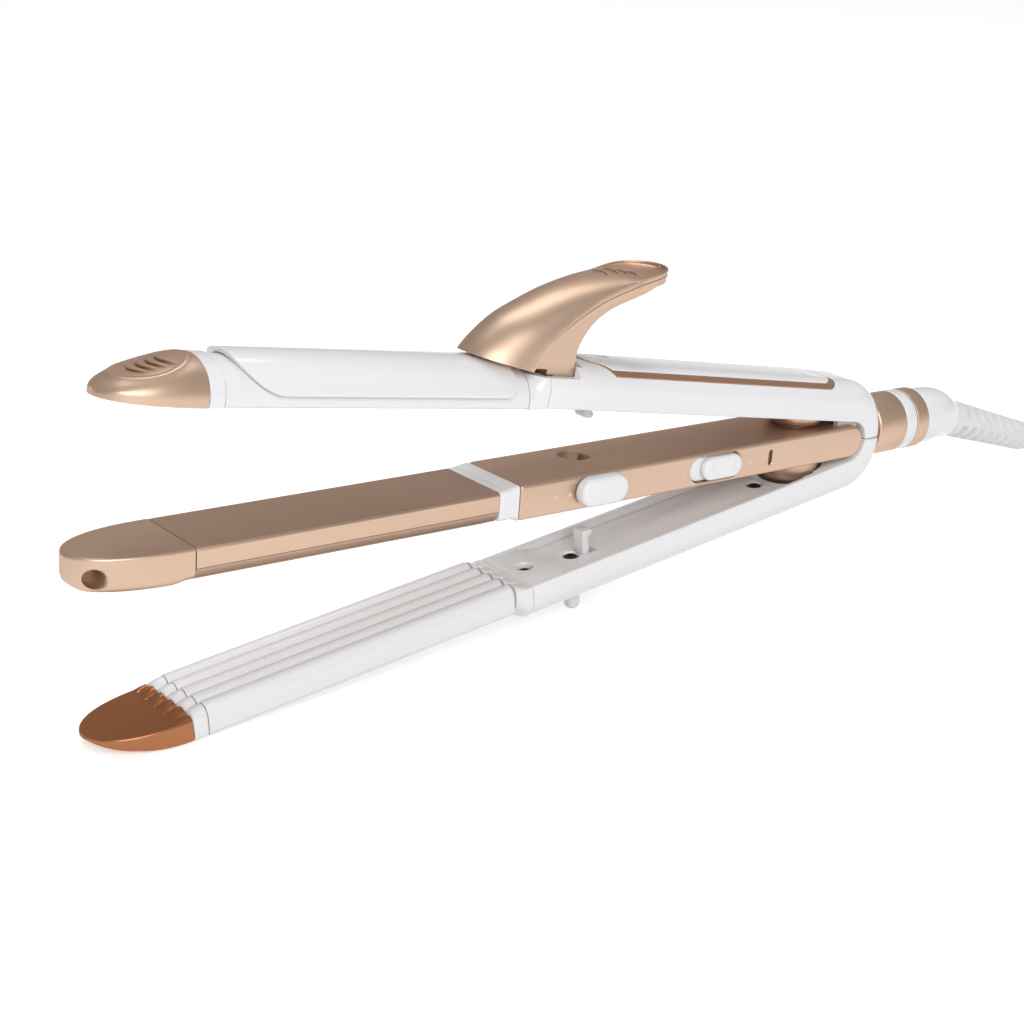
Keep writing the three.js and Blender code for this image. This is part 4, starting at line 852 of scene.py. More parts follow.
# ---- the middle arm
def make_housing():
    """Handle of the middle arm: hinge cheeks, neck, hook holes and switch recesses."""
    side = [(HANDLE_FRONT, -HALF_T), *arc(0, 0, HALF_T, HALF_T, -90, 90, 40),
            (HANDLE_FRONT, HALF_T)]
    body = soften(raw_piece("housing", pull("y", side, -HALF_W, HALF_W)), 1.0, 40, 4)
    carve(body, *[block(CHEEK_FRONT, HALF_T + 1, a, b, -HALF_T - 1, HALF_T + 1)
                  for a, b in both_sides(CORE_HALF, SLOT_HALF)])
    add_on(body, block(0, CORE_REAR, -CORE_HALF, CORE_HALF, -CORE_HALF, CORE_HALF),
           pull("x", circle(0, 0, NECK_RADIUS), CORE_REAR - 1.7, NECK_REAR),
           pull("x", circle(0, 0, SPIGOT_RADIUS), NECK_REAR - 0.7, SPIGOT_REAR))
    holes = ((UPPER_LATCH_Y, False), (LOWER_LATCH_Y, True))
    carve(body,
          *[stand(well(HOLE_RADIUS, HOLE_FLOOR, HALF_T), HOLE_X, y, down) for y, down in holes],
          *[block(LATCH_X, LATCH_X + 3.9, y - HOOK_ACROSS, y + HOOK_ACROSS,
                  *((-4, -HOLE_FLOOR) if down else (HOLE_FLOOR, 4))) for y, down in holes],
          *[stand(tool, BOSS_X, 0, down)
            for foot, down in ((BOSS_FOOT, False), (BOSS_RADIUS, True))
            for tool in (well(foot + GAP, 4, HALF_T, 0.2), well(SPRING_SEAT, 1.2, 4.5, 0.1))],
          flared_slot(TEMPERATURE_X, TEMPERATURE_TRAVEL + 4.6, 3.6, 4, 0.3),
          flared_slot(POWER_X, POWER_LENGTH, POWER_HEIGHT, 2, 0.35),
          flared_slot(LAMP_X, 4.6, 1.6, 1.4, 0.15, True),
          bar(0, 0, PIN_BORE, PIN_REACH))
    settle(body, "middle_arm", "rose", ["middle_housing"])
    dish = [(1.5, 4.55), (1.3, 4.1), (1.1, 3.3), (1.0, 0), (0.85, 0), (0.85, 4.55), (1.5, 4.55)]
    for name, (y, down) in zip(("upper_hole_floor", "lower_hole_floor"), holes):
        floor = raw_piece(name, stand(revolve(dish, 56), HOLE_X, y, down))
        settle(floor, "middle_arm", "white")


def make_middle_head():
    """Collar, folded plate, corrugated plate and tip of the middle arm."""
    rings = [round_rect(COLLAR_FRONT, HALF_P - 0.3, PLATE_BOTTOM + 0.2, PLATE_TOP - 0.1, 1.0),
             round_rect(COLLAR_FRONT + 0.3, HALF_P - 0.1, PLATE_BOTTOM, PLATE_TOP + 0.1, 1.1)]
    for share in steps(12):
        t = ease(share)
        rings.append(round_rect(
            mix(COLLAR_FRONT + 1.6, HANDLE_FRONT - 1.0, share), mix(HALF_P - 0.1, HALF_W, t),
            PLATE_BOTTOM - 0.9 * max(0, t - 0.55), mix(PLATE_TOP + 0.15, HALF_T, t), 1.1))
    rings += [round_rect(HANDLE_FRONT - GAP - 0.2, HALF_W, -HALF_T, HALF_T, 1.0),
              round_rect(HANDLE_FRONT - GAP, HALF_W - 0.2, 0.2 - HALF_T, HALF_T - 0.2, 0.9)]
    settle(raw_piece("plate_collar", loft(rings)), "middle_arm", "white", ["middle_collar"], 40)

    e, sheet = 1.1, 1.2
    fold = [(HALF_P, PLATE_FOLD), *arc(HALF_P - e, PLATE_TOP - e, e, e, 0, 90, 10),
            *arc(e - HALF_P, PLATE_TOP - e, e, e, 90, 180, 10), (-HALF_P, PLATE_FOLD),
            (sheet - HALF_P, PLATE_FOLD), (sheet - HALF_P, PLATE_TOP - sheet),
            (HALF_P - sheet, PLATE_TOP - sheet), (HALF_P - sheet, PLATE_FOLD)]
    folded = raw_piece("folded_plate", pull("x", fold, PLATE_FRONT, PLATE_REAR))
    settle(soften(folded, 0.2, 50, 2), "middle_arm", "plate", ["straightening_plate"])

    top, reach = PLATE_FOLD - 0.06, HALF_P - 1.8
    wave = [(y, CREST + 0.8 - ridge(y, RIDGE_DEPTH)) for y in steps(90, -reach, reach)]
    mate = [(-HALF_P, top), (1.7 - HALF_P, PLATE_BOTTOM), *wave, (HALF_P - 1.7, PLATE_BOTTOM),
            (HALF_P, top)]
    under = raw_piece("corrugated_plate", pull("x", mate, PLATE_FRONT, PLATE_REAR))
    settle(under, "middle_arm", "plate", ["middle_crimp_plate"], 45)

    nose_length = TIP_LENGTH + 0.8

    def nose_half(x):
        return tip_half((TIP_REAR - x) / nose_length, HALF_P, 2.5)

    rings = []
    for share in steps(40):
        t = 1 - (1 - share) ** 1.9
        x = TIP_REAR - t * nose_length
        w = max(nose_half(x), 0.8)
        upturn = 1 - math.sqrt(1 - min(1, max(0, (t - 0.84) / 0.16)) ** 2)
        low = PLATE_BOTTOM - TIP_BELLY * ease(min(1, t / 0.2)) + 3.2 * upturn
        high = PLATE_TOP - 0.3 * t ** 3 - 0.9 * upturn ** 2
        rings.append(round_rect(x, w, low, high, min(0.8, w * 0.6), min(2.4, w * 0.8)))
    nose = raw_piece("middle_nose", loft(rings))
    hole_x, hole_z = TIP_REAR - 0.854 * TIP_LENGTH, -1.3
    flare = [(-1, -0.8, 3.4), (-1, 0, 2.75), (-1, 0.25, 2.5), (-1, 0.7, 2.3)]
    flare += [(1, depth, r) for _, depth, r in flare[::-1]]
    carve(nose, loft([[(hole_x + u, side * (nose_half(hole_x + u) - depth), hole_z + v)
                       for u, v in circle(0, 0, r, 40)] for side, depth, r in flare]))
    settle(nose, "middle_arm", "rose", ["middle_tip"], 40)


def make_cups():
    """The two cups that cover the opening springs."""
    near, far, bore = HALF_T - 1 + GAP, BOSS_TOP, 6.2
    flared = [(near, SPRING_SEAT), (near, BOSS_FOOT),
              *arc(HALF_T + 3.6, BOSS_FOOT, 3.3, BOSS_RADIUS - BOSS_FOOT, 180, 90, 14),
              (far - 0.8, BOSS_RADIUS), (far - 0.4, BOSS_RADIUS - 0.1),
              (far - 0.1, BOSS_RADIUS - 0.4), (far, BOSS_RADIUS - 0.8), (far, bore),
              (HALF_T + 3.4, bore), (HALF_T + 1.8, SPRING_SEAT), (near, SPRING_SEAT)]
    bowl = [(near, bore), (near, BOSS_RADIUS),
            *arc(far - 5.2, BOSS_RADIUS - 2.4, 5.2, 2.4, 90, 15, 14),
            (far, 7.0), (far, bore), (near, bore)]
    for name, node, profile, down in (("upper_cup", "upper_spring_cup", flared, False),
                                      ("lower_cup", "lower_spring_cup", bowl, True)):
        cup = raw_piece(name, stand(revolve(profile, 88), BOSS_X, 0, down))
        settle(cup, "middle_arm", "rose", [node])


def make_rear(settings):
    """Sleeve and ring behind the hinge, and the ring, elbow and relief that swivel."""
    r, bore = RING_RADIUS, RING_BORE
    for name, a, b, front, back, body, paint, slot, node in (
            ("hinge_sleeve", 16, 28.4, 0.9, 0.3, "middle_arm", "rose", None, "rear_sleeve"),
            ("spacer_ring", 28.5, 33.2, 0.3, 0.3, "middle_arm", "white", None, "rear_spacer"),
            ("turning_ring", 33.5, 38.9, 0.4, 0.4, "cord_outlet", "rose", "copper",
             "swivel_ring")):
        washer = revolve([(a, bore), (a, r - front), *[
            (a + front - front * math.cos(k), r - front + front * math.sin(k))
            for k in (0.4, 0.8, 1.2, math.pi / 2)], (b - back, r),
            (b - back * 0.3, r - back * 0.3), (b, r - back), (b, bore), (a, bore)], 88)
        settle(raw_piece(name, washer), body, paint, [node], 25)

    rings = []
    for x, r in ((39.2, 8.0), (39.5, 8.3), (41, 8.75), (43.2, 8.85), (45.5, 8.8), (47.5, 8.6),
                 (49.5, 8.35), (51.5, 8.0), (53.5, 7.55), (55.3, 7.1), (56.6, 6.75),
                 (57.3, 6.5), (57.6, 6.2)):
        share = ease(min(1, max(0, (x - 43.6) / 12)))
        angle, past = ELBOW_BEND * share, max(0, x - ELBOW_X)
        cx = mix(x, ELBOW_X + past * math.cos(ELBOW_BEND), share)
        cz = -past * math.sin(ELBOW_BEND) * share
        rings.append([(cx + r * math.sin(k) * math.sin(angle), r * math.cos(k),
                       cz + r * math.sin(k) * math.cos(angle))
                      for k in (2 * math.pi * i / 64 for i in range(64))])
    elbow = add_on(raw_piece("cord_elbow", loft(rings)), pull("x", circle(0, 0, 3.7, 40), 22, 41))
    settle(elbow, "cord_outlet", "white", ["swivel_elbow"], 40)

    start, end, thick, thin = RELIEF_START, RELIEF_START + RELIEF_LENGTH, 6.0, 4.8
    relief = raw_piece("cord_relief", revolve([
        (start, 4.5), (start, thick - 0.2), (start + 0.2, thick), (end - 0.6, thin),
        (end - 0.2, thin - 0.2), (end, thin - 0.6), (end, 3.2), (end - 0.2, 3),
        (start + 5, 3), (start + 5, 4.5), (start, 4.5)], 64))
    pitch = (RELIEF_LENGTH - 5) / settings.windows
    run_tree(relief, window_tree(), "soft", {
        "Count": settings.windows, "Rows": 4, "Start": start + 3 + pitch / 2, "Pitch": pitch,
        "Width": pitch * 0.6, "Across": 7, "Radius": 5.6, "Depth": 1.4})
    turn = Matrix.Translation((ELBOW_X, 0, 0)) @ Matrix.Rotation(ELBOW_BEND, 4, "Y")
    settle(relief, "cord_outlet", "soft", ["strain_relief"], turn=turn)
    tenon = raw_piece("relief_core", pull("x", circle(0, 0, 4.2, 40), 4, start + 4))
    settle(tenon, "cord_outlet", "white", turn=turn)


# ---- switches
def make_switches():
    """Both sliders, the floor of the long recess and the lamp."""
    face = -HALF_W
    knob = raw_piece("temperature_knob", slot_stack(TEMPERATURE_X, 0.5, 17, 8.5, (
        (face - GAP, 0.5), (face - GAP - 0.25, 0.1), (face - 1.2, 0), (face - 2.7, 0.1),
        (face - 3.3, 0.35), (face - 3.65, 0.75), (face - 3.8, 1.3)), 20))
    add_on(knob, pull("y", slot_outline(TEMPERATURE_X + 3, 0, 4, 3, 10), face - 1, face + 3.4))
    settle(knob, "temperature_slider", "white", ["temperature_slider"])

    bed = pull("y", slot_outline(POWER_X, 0, 19.5, 7.1, 16), face + 1.0, face + 1.9)
    settle(soften(raw_piece("power_bed", bed), 0.12, 50, 2), "middle_arm", "white",
           ["power_slider_bed"])

    mid = POWER_KNOB_X
    thumb = raw_piece("power_knob", slot_stack(mid, 0, 15.4, 7, (
        (face + 0.6, 0.1), (face + 0.4, 0), (face - 0.5, 0.05), (face - 0.9, 0.25),
        (face - 1.12, 0.6), (face - 1.2, 1.0)), 20))
    carve(thumb, *[block(mid + line - 0.12, mid + line + 0.12, face - 2, face - 1.1, -2, 2)
                   for line in (-4.2, 4.2)])
    settle(thumb, "power_slider", "white", ["power_slider"])

    lens = raw_piece("lamp_lens", slot_stack(LAMP_X, 0, 4.5, 1.5, (
        (face + 1.3, 0), (face + 0.85, 0), (face + 0.7, 0.2)), 14, True))
    settle(lens, "middle_arm", "amber", ["indicator_lamp"])


def make_marks():
    """Plain printed dots beside the sliders."""
    dot = raw_piece("dot_source", pull("y", circle(0, 0, 1, 28), -0.04, 0.04))
    places = [(x, -HALF_W - 0.03, z, size) for x, z, size in (
        (-69.5, -0.45, 0.4), (-43.4, -0.5, 0.55), (-122.4, 0, 0.3), (-117.4, 0, 0.45),
        (-112.2, 0, 0.6))]
    copies_piece("switch_marks", places, dot, "middle_arm", "mark")


# ---- latches
def hook(name, flange, y, down=False):
    """A hook: a post with a rounded lip towards the hinge."""
    x, end = LATCH_X, HOOK_END
    side = [(x - 2.5, flange), (x - 2.2, end + 0.9), (x - 1.95, end + 0.3), (x - 1.4, end),
            (x + 0.5, end), (x + 1.05, end + 0.2), (x + 1.3, end + 0.7), (x + 1.3, end + 1.4),
            (x + 1.0, end + 1.8), (x - 0.1, end + 2.2), (x, end + 2.8), (x, flange)]
    if down:
        side = [(a, -b) for a, b in side]
    post = raw_piece(name, pull("y", side, y - HOOK_HALF, y + HOOK_HALF))
    return soften(post, 0.35, 50, 3)


def flange_plate(y, z0, z1):
    """The plate that keeps a hook in its slot."""
    return block(LATCH_X - 3, LATCH_X + 3.4, y - FLANGE_HALF, y + FLANGE_HALF, z0, z1)


def make_latches():
    """The two sliding hooks, each with its finger piece."""
    x, y, flange = LATCH_X, LOWER_LATCH_Y, COVER_UNDER + GAP
    knob = []
    for z, inset in ((KNOB_TOP, 0.1), (18.3, 0), (21, 0.05), (23.6, 0.15), (24.4, 0.35),
                     (24.9, 0.7), (25.2, 1.1), (25.3, 1.6)):
        outline = slot_outline(0, 0, KNOB_WIDTH - 2 * inset, KNOB_LENGTH - 2 * inset, 16)
        knob.append([(x - KNOB_AHEAD + v, y + u, -z) for u, v in outline])
    lower = hook("lower_hook", flange, y, True)
    add_on(lower, flange_plate(y, -flange - FLANGE_THICK, 0.1 - flange),
           block(x - KNOB_AHEAD, x, y - 2, y + 2, -SHOE_FOOT, -KNOB_TOP),
           block(x - 2.2, x - 0.2, y - 1.6, y + 1.6, -18.75, -COVER_UNDER - 1), loft(knob))
    settle(lower, "lower_latch", "white", ["lower_latch"])

    y, flange = UPPER_LATCH_Y, UPPER_CROWN - 4.6
    top = UPPER_CROWN + UPPER_LIFT * (x / OUTER_FRONT) - 0.2
    tab = [[(x - 3 + inset, y - 2 + inset, z), (x + 1.6 - inset, y - 2 + inset, z),
            (x + 1.6 - inset, y + 2 - inset, z), (x - 3 + inset, y + 2 - inset, z)]
           for z, inset in ((flange + 1, 0), (top - 0.6, 0), (top - 0.4, 0.15))]
    grips = [pull("y", [(a - 2.6, top - 0.5), (a - 2.4, top), (a - 2.1, top),
                        (a - 1.9, top - 0.5)], y - 1.8, y + 1.8)
             for a in (x, x + 1.5, x + 3)]
    upper = hook("upper_hook", flange, y)
    add_on(upper, flange_plate(y, flange - 0.1, flange + FLANGE_THICK), loft(tab), *grips)
    settle(upper, "upper_latch", "white", ["upper_latch"])


# ---- the lower arm
def make_lower_handle():
    """Trough of the lower handle, with the hinge lugs, and its stepped inner cover."""
    front, half, step = OUTER_FRONT + 1.8, RECESS_HALF, COVER_STEP
    body = soften(raw_piece("lower_trough", handle_shell(-1, LOWER_DEPTH, LOWER_LIFT)),
                  0.45, 60, 3)
    carve(body,
          block(front, COVER_END + GAP, -half, half, -COVER_UNDER, 1 - RIM),
          block(COVER_END - 1, BOSS_X, -half, half, -FLOOR, 1 - RIM),
          pull("y", [(step, -COVER_FRONT_TOP), (step + 2, -COVER_FRONT_TOP - 0.4),
                     (COVER_END + 8, -RIM - 0.55), (COVER_END + 8, 1 - RIM), (step, 1 - RIM)],
               -half - 0.6, half + 0.6),
          *neck_room(-1), cup_pocket(-1),
          block(*FLANGE_ROOM, -FLANGE_SLOT, FLANGE_SLOT, -COVER_UNDER - 1.9, 1 - COVER_UNDER),
          block(*HOOK_ROOM, -1.9, 1.9, -LOWER_CROWN - 1, -COVER_UNDER),
          *[stand(revolve([(COVER_UNDER - 1, 0), (COVER_UNDER - 1, SCREW_BORE),
                           (COVER_UNDER + 3.4, SCREW_BORE), (COVER_UNDER + 3.4, 0)], 32),
                  x, y, True) for x, y, _ in SCREWS])
    add_on(body, *lugs(-1, 4.6))
    carve(body, bar(0, 0, PIN_BORE, PIN_REACH))
    settle(body, "lower_arm", "white", ["lower_handle"])

    front, half, high = front + 0.08, half - 0.08, -COVER_FRONT_TOP - 0.03
    side = [(front, GAP - COVER_UNDER), (COVER_END, GAP - COVER_UNDER), (COVER_END, -FLOOR),
            (step + 7.6, -FLOOR), (step + 6.2, -FLOOR + 0.2), (step + 0.5, high - 0.5),
            (step + 0.3, high - 0.1), (step - 0.1, high), (front, high)]
    cover = soften(raw_piece("inner_cover", pull("y", side, -half, half)), 0.1, 60, 2)
    tools = [block(*HOOK_ROOM, -HOOK_ACROSS, HOOK_ACROSS, -COVER_UNDER - 1, 1 - FLOOR)]
    for x, y, top in SCREWS:
        face = -high if top < FLOOR else top
        seat = min(top + 2.5, COVER_UNDER - 0.6)
        tools.append(stand(revolve([
            (face - 1, 0), (face - 1, 3.1), (face, 2.75), (face + 0.25, 2.45),
            (face + 0.7, SCREW_SEAT), (seat, SCREW_SEAT), (seat, SCREW_BORE),
            (COVER_UNDER + 1, SCREW_BORE), (COVER_UNDER + 1, 0)], 48), x, y, True))
    settle(carve(cover, *tools), "lower_arm", "white", ["lower_inner_cover"])

    head = raw_piece("screw_source", stand(revolve([
        (0.0, 0), (0.0, 1.85), (0.25, 2.0), (0.9, 1.9), (1.2, 1.3), (1.3, 0)], 32), 0, 0))
    carve(head, block(-1.2, 1.2, -0.28, 0.28, 0.6, 2), block(-0.28, 0.28, -1.2, 1.2, 0.6, 2))
    add_on(head, pull("z", circle(0, 0, 1.1, 20), -2.6, 0.3))
    # The screws take the near-black finish, which paints the shade inside the screw holes.
    places = [(x, y, -min(top + 2.4, COVER_UNDER - 0.7), 1.0) for x, y, top in SCREWS]
    copies_piece("cover_screws", places, head, "lower_arm", "screw",
                 ["cover_screw_1", "cover_screw_2", "cover_screw_3"])


def make_crimping_head(settings):
    """Collar, ridged plate, end ring and clawed tip of the lower arm."""
    height = settings.ridge_height
    rings = []
    for t in steps(24):
        x, s = mix(OUTER_COLLAR, OUTER_FRONT - GAP, t), ease(ease(t) * 0.7 + t * 0.3)
        w, depth = mix(HALF_P - 0.3, HALF_W, s), mix(SHOULDER - BOTTOM, LOWER_DEPTH, s)
        rim = mix(-SHOULDER, COVER_FRONT_TOP, s)
        fade = max(0, 1 - t / 0.8) ** 1.4
        rings.append([(x, y, -rim - d) for y, d in dome(
            w, depth, depth * SIDE_SHARE, mix(4, ROUNDING, s))]
                     + [(x, y, -rim + max(0, 1.85 - ridge(y, height)) * fade)
                        for y in steps(100, -RIBS_HALF, RIBS_HALF)])
    settle(raw_piece("lower_step", loft(rings)), "lower_arm", "white", ["lower_collar"], 40)

    def section(x, share=1.0, drop=0.0, w=HALF_P):
        return crimp_ring(x, w, CREST - drop, BOTTOM, share, height)

    rear, front = LOWER_PLATE_REAR, LOWER_PLATE_FRONT
    plate = raw_piece("ridged_plate", loft([
        section(front, 0.93, 0.05, HALF_P - 0.1), section(front + 0.3), section(rear - 0.9),
        section(rear - 0.75, 0.97), section(rear - 0.6, 0.9, 0.1, HALF_P - 0.15)]))
    settle(plate, "lower_arm", "ceramic", ["lower_crimp_plate"], 50)

    rings = []
    for t in steps(12):
        share = math.sqrt(1 - (1 - t) ** 2) * 0.85 + 0.1
        edge = 0.15 if t in (0, 1) else 0
        rings.append(crimp_ring(mix(LOWER_RING_FRONT, LOWER_PLATE_FRONT - GAP, t), HALF_P - edge,
                                CREST - 0.25, BOTTOM + edge, share, height))
    settle(raw_piece("ridge_ends", loft(rings)), "lower_arm", "white", ["lower_end_ring"], 50)

    rings = []
    for share in steps(56):
        t = share ** 1.6
        w = max(tip_half(t, HALF_P - 0.1, 2.6), 1.6)
        fade = max(0.0, 1 - (t / 0.16) ** 2)
        bottom = mix(BOTTOM, SHOULDER - 0.9, t ** 2.4)
        rings.append(crimp_ring(LOWER_TIP_REAR - t * LOWER_TIP_LENGTH, w, CREST - 0.5, bottom,
                                fade, height, HEAD_CORNER * (1 + t), PITCH / 2, 0.7))
    settle(raw_piece("clawed_tip", loft(rings)), "lower_arm", "copper", ["lower_tip"], 50)


# ---- the upper arm
def upper_solid(inset):
    """The upper handle's outer form, shrunk by inset."""
    return handle_shell(1, UPPER_DEPTH, UPPER_LIFT, inset)


def make_upper_handle():
    """Upper handle with its lugs, the metal-coloured trim and the top panel."""
    inlay = carve(raw_piece("inlay", panel_prism(0)), upper_solid(0.9))
    body = soften(raw_piece("upper_shell", upper_solid(0)), 0.4, 60, 3)
    cut_with(body, [inlay], "DIFFERENCE")
    front, above, y = OUTER_FRONT - 1, UPPER_CROWN + 5, UPPER_LATCH_Y
    carve(body,
          block(-108, COVER_END, -RECESS_HALF, RECESS_HALF, RIM - 1, FLOOR),
          pull("y", [(front, SHELF_Z), (SHELF_END, SHELF_Z), (SHELF_END, above), (front, above)],
               -HALF_W - 1, HALF_W + 1),
          block(front, WEB_SLOT_REAR, -WEB_HALF - GAP, WEB_HALF + GAP, 9.4, above),
          bar(PIVOT_X, PIVOT_Z, PIN_BORE, HALF_W - 1),
          *neck_room(1), cup_pocket(1),
          block(*HOOK_ROOM, y - HOOK_ACROSS, y + HOOK_ACROSS, RIM - 1, UPPER_CROWN),
          block(*FLANGE_ROOM, y - FLANGE_SLOT, y + FLANGE_SLOT, UPPER_CROWN - 4.9,
                UPPER_CROWN + 3))
    add_on(body, *lugs(1, 6.9))
    carve(body, bar(0, 0, PIN_BORE, PIN_REACH))
    settle(body, "upper_arm", "white", ["upper_handle"])

    trim = combine(raw_piece("panel_trim", upper_solid(-0.04)), [panel_prism(0.15)], "INTERSECT")
    carve(trim, upper_solid(0.7), panel_prism(1.7))
    settle(soften(trim, 0.12, 50, 2), "upper_arm", "trim", ["upper_trim"])

    panel = combine(raw_piece("top_panel", upper_solid(-0.25)), [panel_prism(1.85)], "INTERSECT")
    soften(panel, 0.3, 50, 3)
    carve(panel, upper_solid(0.7),
          block(LATCH_X - 3.3, LATCH_X + 3.9, y - 2.3, y + 2.3, UPPER_CROWN - 3, UPPER_CROWN + 3))
    settle(panel, "upper_arm", "white", ["upper_panel"])


def head_ring(x, w, z0, depth, side, count=22):
    """Section shared by the barrel's ring and the upper tip."""
    return [(x, y, z0 + d) for y, d in dome(w, depth, side, w, 0, count)]


def nose_form(x):
    """Half width, foot, straight side and depth of the upper tip at x."""
    t = min(1, max(0, (UPPER_RING_FRONT - GAP - x) / UPPER_TIP_LENGTH))
    w = max(tip_half(t, BARREL_HALF + 0.5, 2.6), 1.0)
    depth = (BARREL_HEIGHT + 0.2) * (1 - 0.83 * t ** 1.9)
    return w, 0.25 + 0.25 * t, min(SLAB, depth * 0.4), depth


def scoop_drop(x, y):
    """How far the finger scoop lies under the tip's round top: a hollow inside a raised rim."""
    share = math.hypot((x - TIP_SCOOP_X) / 9.4, y / 7.7)
    hollow = 1.25 * max(0, 1 - share ** 2)
    return hollow - 0.22 * math.exp(-((share - 1) / 0.07) ** 2)


def nose_height(x, y):
    """Height of the upper tip's skin over a place in its plan."""
    w, foot, side, depth = nose_form(x)
    round_share = math.sqrt(max(0, 1 - (y / w) ** 2))
    return foot + side + (depth - side) * round_share - scoop_drop(x, y)


def tip_ring(t):
    """Section of the upper tip at share t of its length, with the finger scoop in its top."""
    x = UPPER_RING_FRONT - GAP - t * UPPER_TIP_LENGTH
    w, foot, side, depth = nose_form(x)
    ring = head_ring(x, w, foot, depth, side, 44)
    return [ring[0]] + [(x, y, max(z - scoop_drop(x, y), foot + side * 0.5))
                        for _, y, z in ring[1:-1]] + [ring[-1]]


def make_barrel(settings):
    """Collar, barrel, flat plate, end ring and tip of the upper arm."""
    rings = []
    for t in steps(24):
        x, s = mix(OUTER_COLLAR, OUTER_FRONT - GAP, t), ease(t)
        w, rim = mix(BARREL_HALF + 0.4, HALF_W, s), mix(BARREL_Z, RIM + UPPER_LIFT, s)
        depth = mix(BARREL_HEIGHT, UPPER_DEPTH, s)
        side, reach = mix(SLAB, UPPER_DEPTH * SIDE_SHARE, s), mix(w, ROUNDING, s)
        rings.append([(x, y, rim + d) for y, d in dome(w, depth, side, reach)])
    collar = soften(raw_piece("barrel_step", loft(rings)), 0.3, 60, 3)
    carve(collar, block(OUTER_COLLAR - 1, OUTER_FRONT, -HALF_W - 1, HALF_W + 1, SHELF_Z,
                        UPPER_CROWN + 5))
    settle(collar, "upper_arm", "white", ["upper_collar"], 40)

    r, w, inner = 0.5, BARREL_HALF, BARREL_HALF - BARREL_SKIRT
    section = (half_round(w, BARREL_RISE) + arc(r - w, SKIRT_FOOT + r, r, r, 180, 270, 6)
               + [(-inner, SKIRT_FOOT), (-inner, SLAB), (inner, SLAB), (inner, SKIRT_FOOT)]
               + arc(w - r, SKIRT_FOOT + r, r, r, 270, 360, 6))
    tube = raw_piece("curling_barrel", pull("x", section, BARREL_FRONT, BARREL_REAR))
    settle(tube, "upper_arm", "ceramic", ["barrel"], turn=DROOP)

    r, w = 0.6, inner - GAP
    section = (arc(w - r, r, r, r, -90, 0, 6) + [(w, SLAB - GAP), (-w, SLAB - GAP)]
               + arc(r - w, r, r, r, 180, 270, 6))
    flat = raw_piece("flat_plate", pull("x", section, BARREL_FRONT, BARREL_REAR))
    settle(soften(flat, 0.15, 60, 2), "upper_arm", "plate", ["upper_plate"], turn=DROOP)

    w, high = BARREL_HALF + 0.5, BARREL_HEIGHT + 0.3
    a, b, lip = UPPER_RING_FRONT, BARREL_FRONT - GAP, 0.25
    ring = raw_piece("barrel_ring", loft([
        head_ring(a, w - lip, 0.4, high - 0.45, SLAB), head_ring(a + lip, w, 0.2, high, SLAB),
        head_ring(b - lip, w, 0.2, high, SLAB), head_ring(b, w - lip, 0.4, high - 0.45, SLAB)]))
    settle(ring, "upper_arm", "white", ["upper_end_ring"], turn=DROOP)

    tip = raw_piece("barrel_nose", loft([tip_ring(1 - (1 - t) ** 1.7) for t in steps(80)]))
    settle(tip, "upper_arm", "rose", ["upper_tip"], 40, DROOP)

    def grip(i, k):
        x, y = TIP_SCOOP_X + 4.6 - 2.5 * i - 1.8 * (1 - k * k), mix(5.2, 4.4, i / 4) * k
        return x, y, nose_height(x, y) + 0.5

    beads("nose_grips", crescents(settings, grip), "upper_arm", 0.7, 14, DROOP)


# ---- the clamp
def hood_stations():
    """Stations along the lever: crown x and z, edge x and z, half width, lip and its lean."""
    stations = [
        (-147.4, 19.5, -132.1, 17.2, 11.6, 0.5, 60), (-144.2, 23.6, -130.6, 20.0, 11.4, 0.8, 56),
        (-137.5, 29.6, -127.7, 24.6, 11.1, 1.2, 49), (-129, 34.5, -123.6, 28.7, 10.7, 1.6, 41),
        (-120.6, 38.6, -118.0, 32.9, 10.2, 2.0, 35), (-111, 41.9, -110.4, 37.6, 9.7, 2.4, 29),
        (-102, 43.9, -102, 41.4, 9.4, 2.8, 25), (-97.6, 44.0, -97.6, 43.2, 9.3, 3.0, 21)]
    for angle in map(math.radians, (0, 16, 32, 48, 62, 74, 83, 89)):
        share = math.sin(angle)
        x, rise = PAD_X + PAD_LENGTH * share, 44.4 + 2.5 * share ** 0.8
        dish = 0.6 + 1.1 * math.sin(2 * angle) * (1 - share / 2)
        stations.append((x, rise - dish, x, rise, max(0.25, PAD_HALF * math.cos(angle)),
                         3.2, 16 - 8 * share))
    return stations


HOOD = hood_stations()
HOOD_END = len(HOOD) - 1


def hood_at(s):
    """The hood's station at s, which counts along HOOD."""
    s = min(max(s, 0), HOOD_END - 0.0001)
    i, t = int(s), s - int(s)
    rows = [HOOD[min(max(i + k, 0), HOOD_END)] for k in (-1, 0, 1, 2)]
    return [0.5 * (2 * b + (c - a) * t + (2 * a - 5 * b + 4 * c - d) * t * t
                   + (3 * b - a - 3 * c + d) * t ** 3) for a, b, c, d in zip(*rows)]


def hood_point(s, a):
    """A point on the hood's outside: a runs from -90 degrees at the near edge to 90."""
    tx, tz, ex, ez, w, *_ = hood_at(s)
    c = max(0.0, math.cos(a)) ** 1.15
    return (mix(ex, tx, c), w * math.sin(a), mix(ez, tz, c))


def hood_side(s, share):
    """A point on the near side of the hood's lip, a share of the way down it."""
    *_, ex, ez, w, lip, lean = hood_at(s)
    lean = math.radians(lean)
    return (ex + math.sin(lean) * lip * share, -w, ez - math.cos(lean) * lip * share)


def hood_ring(s):
    """A closed section of the hood, with its rim's thickness."""
    x, y, z = hood_side(s, 1)
    y *= 0.97
    crown = [hood_point(s, a) for a in steps(44, -math.pi / 2, math.pi / 2)]
    return crown + [(x, -y, z), (x, y, z)]


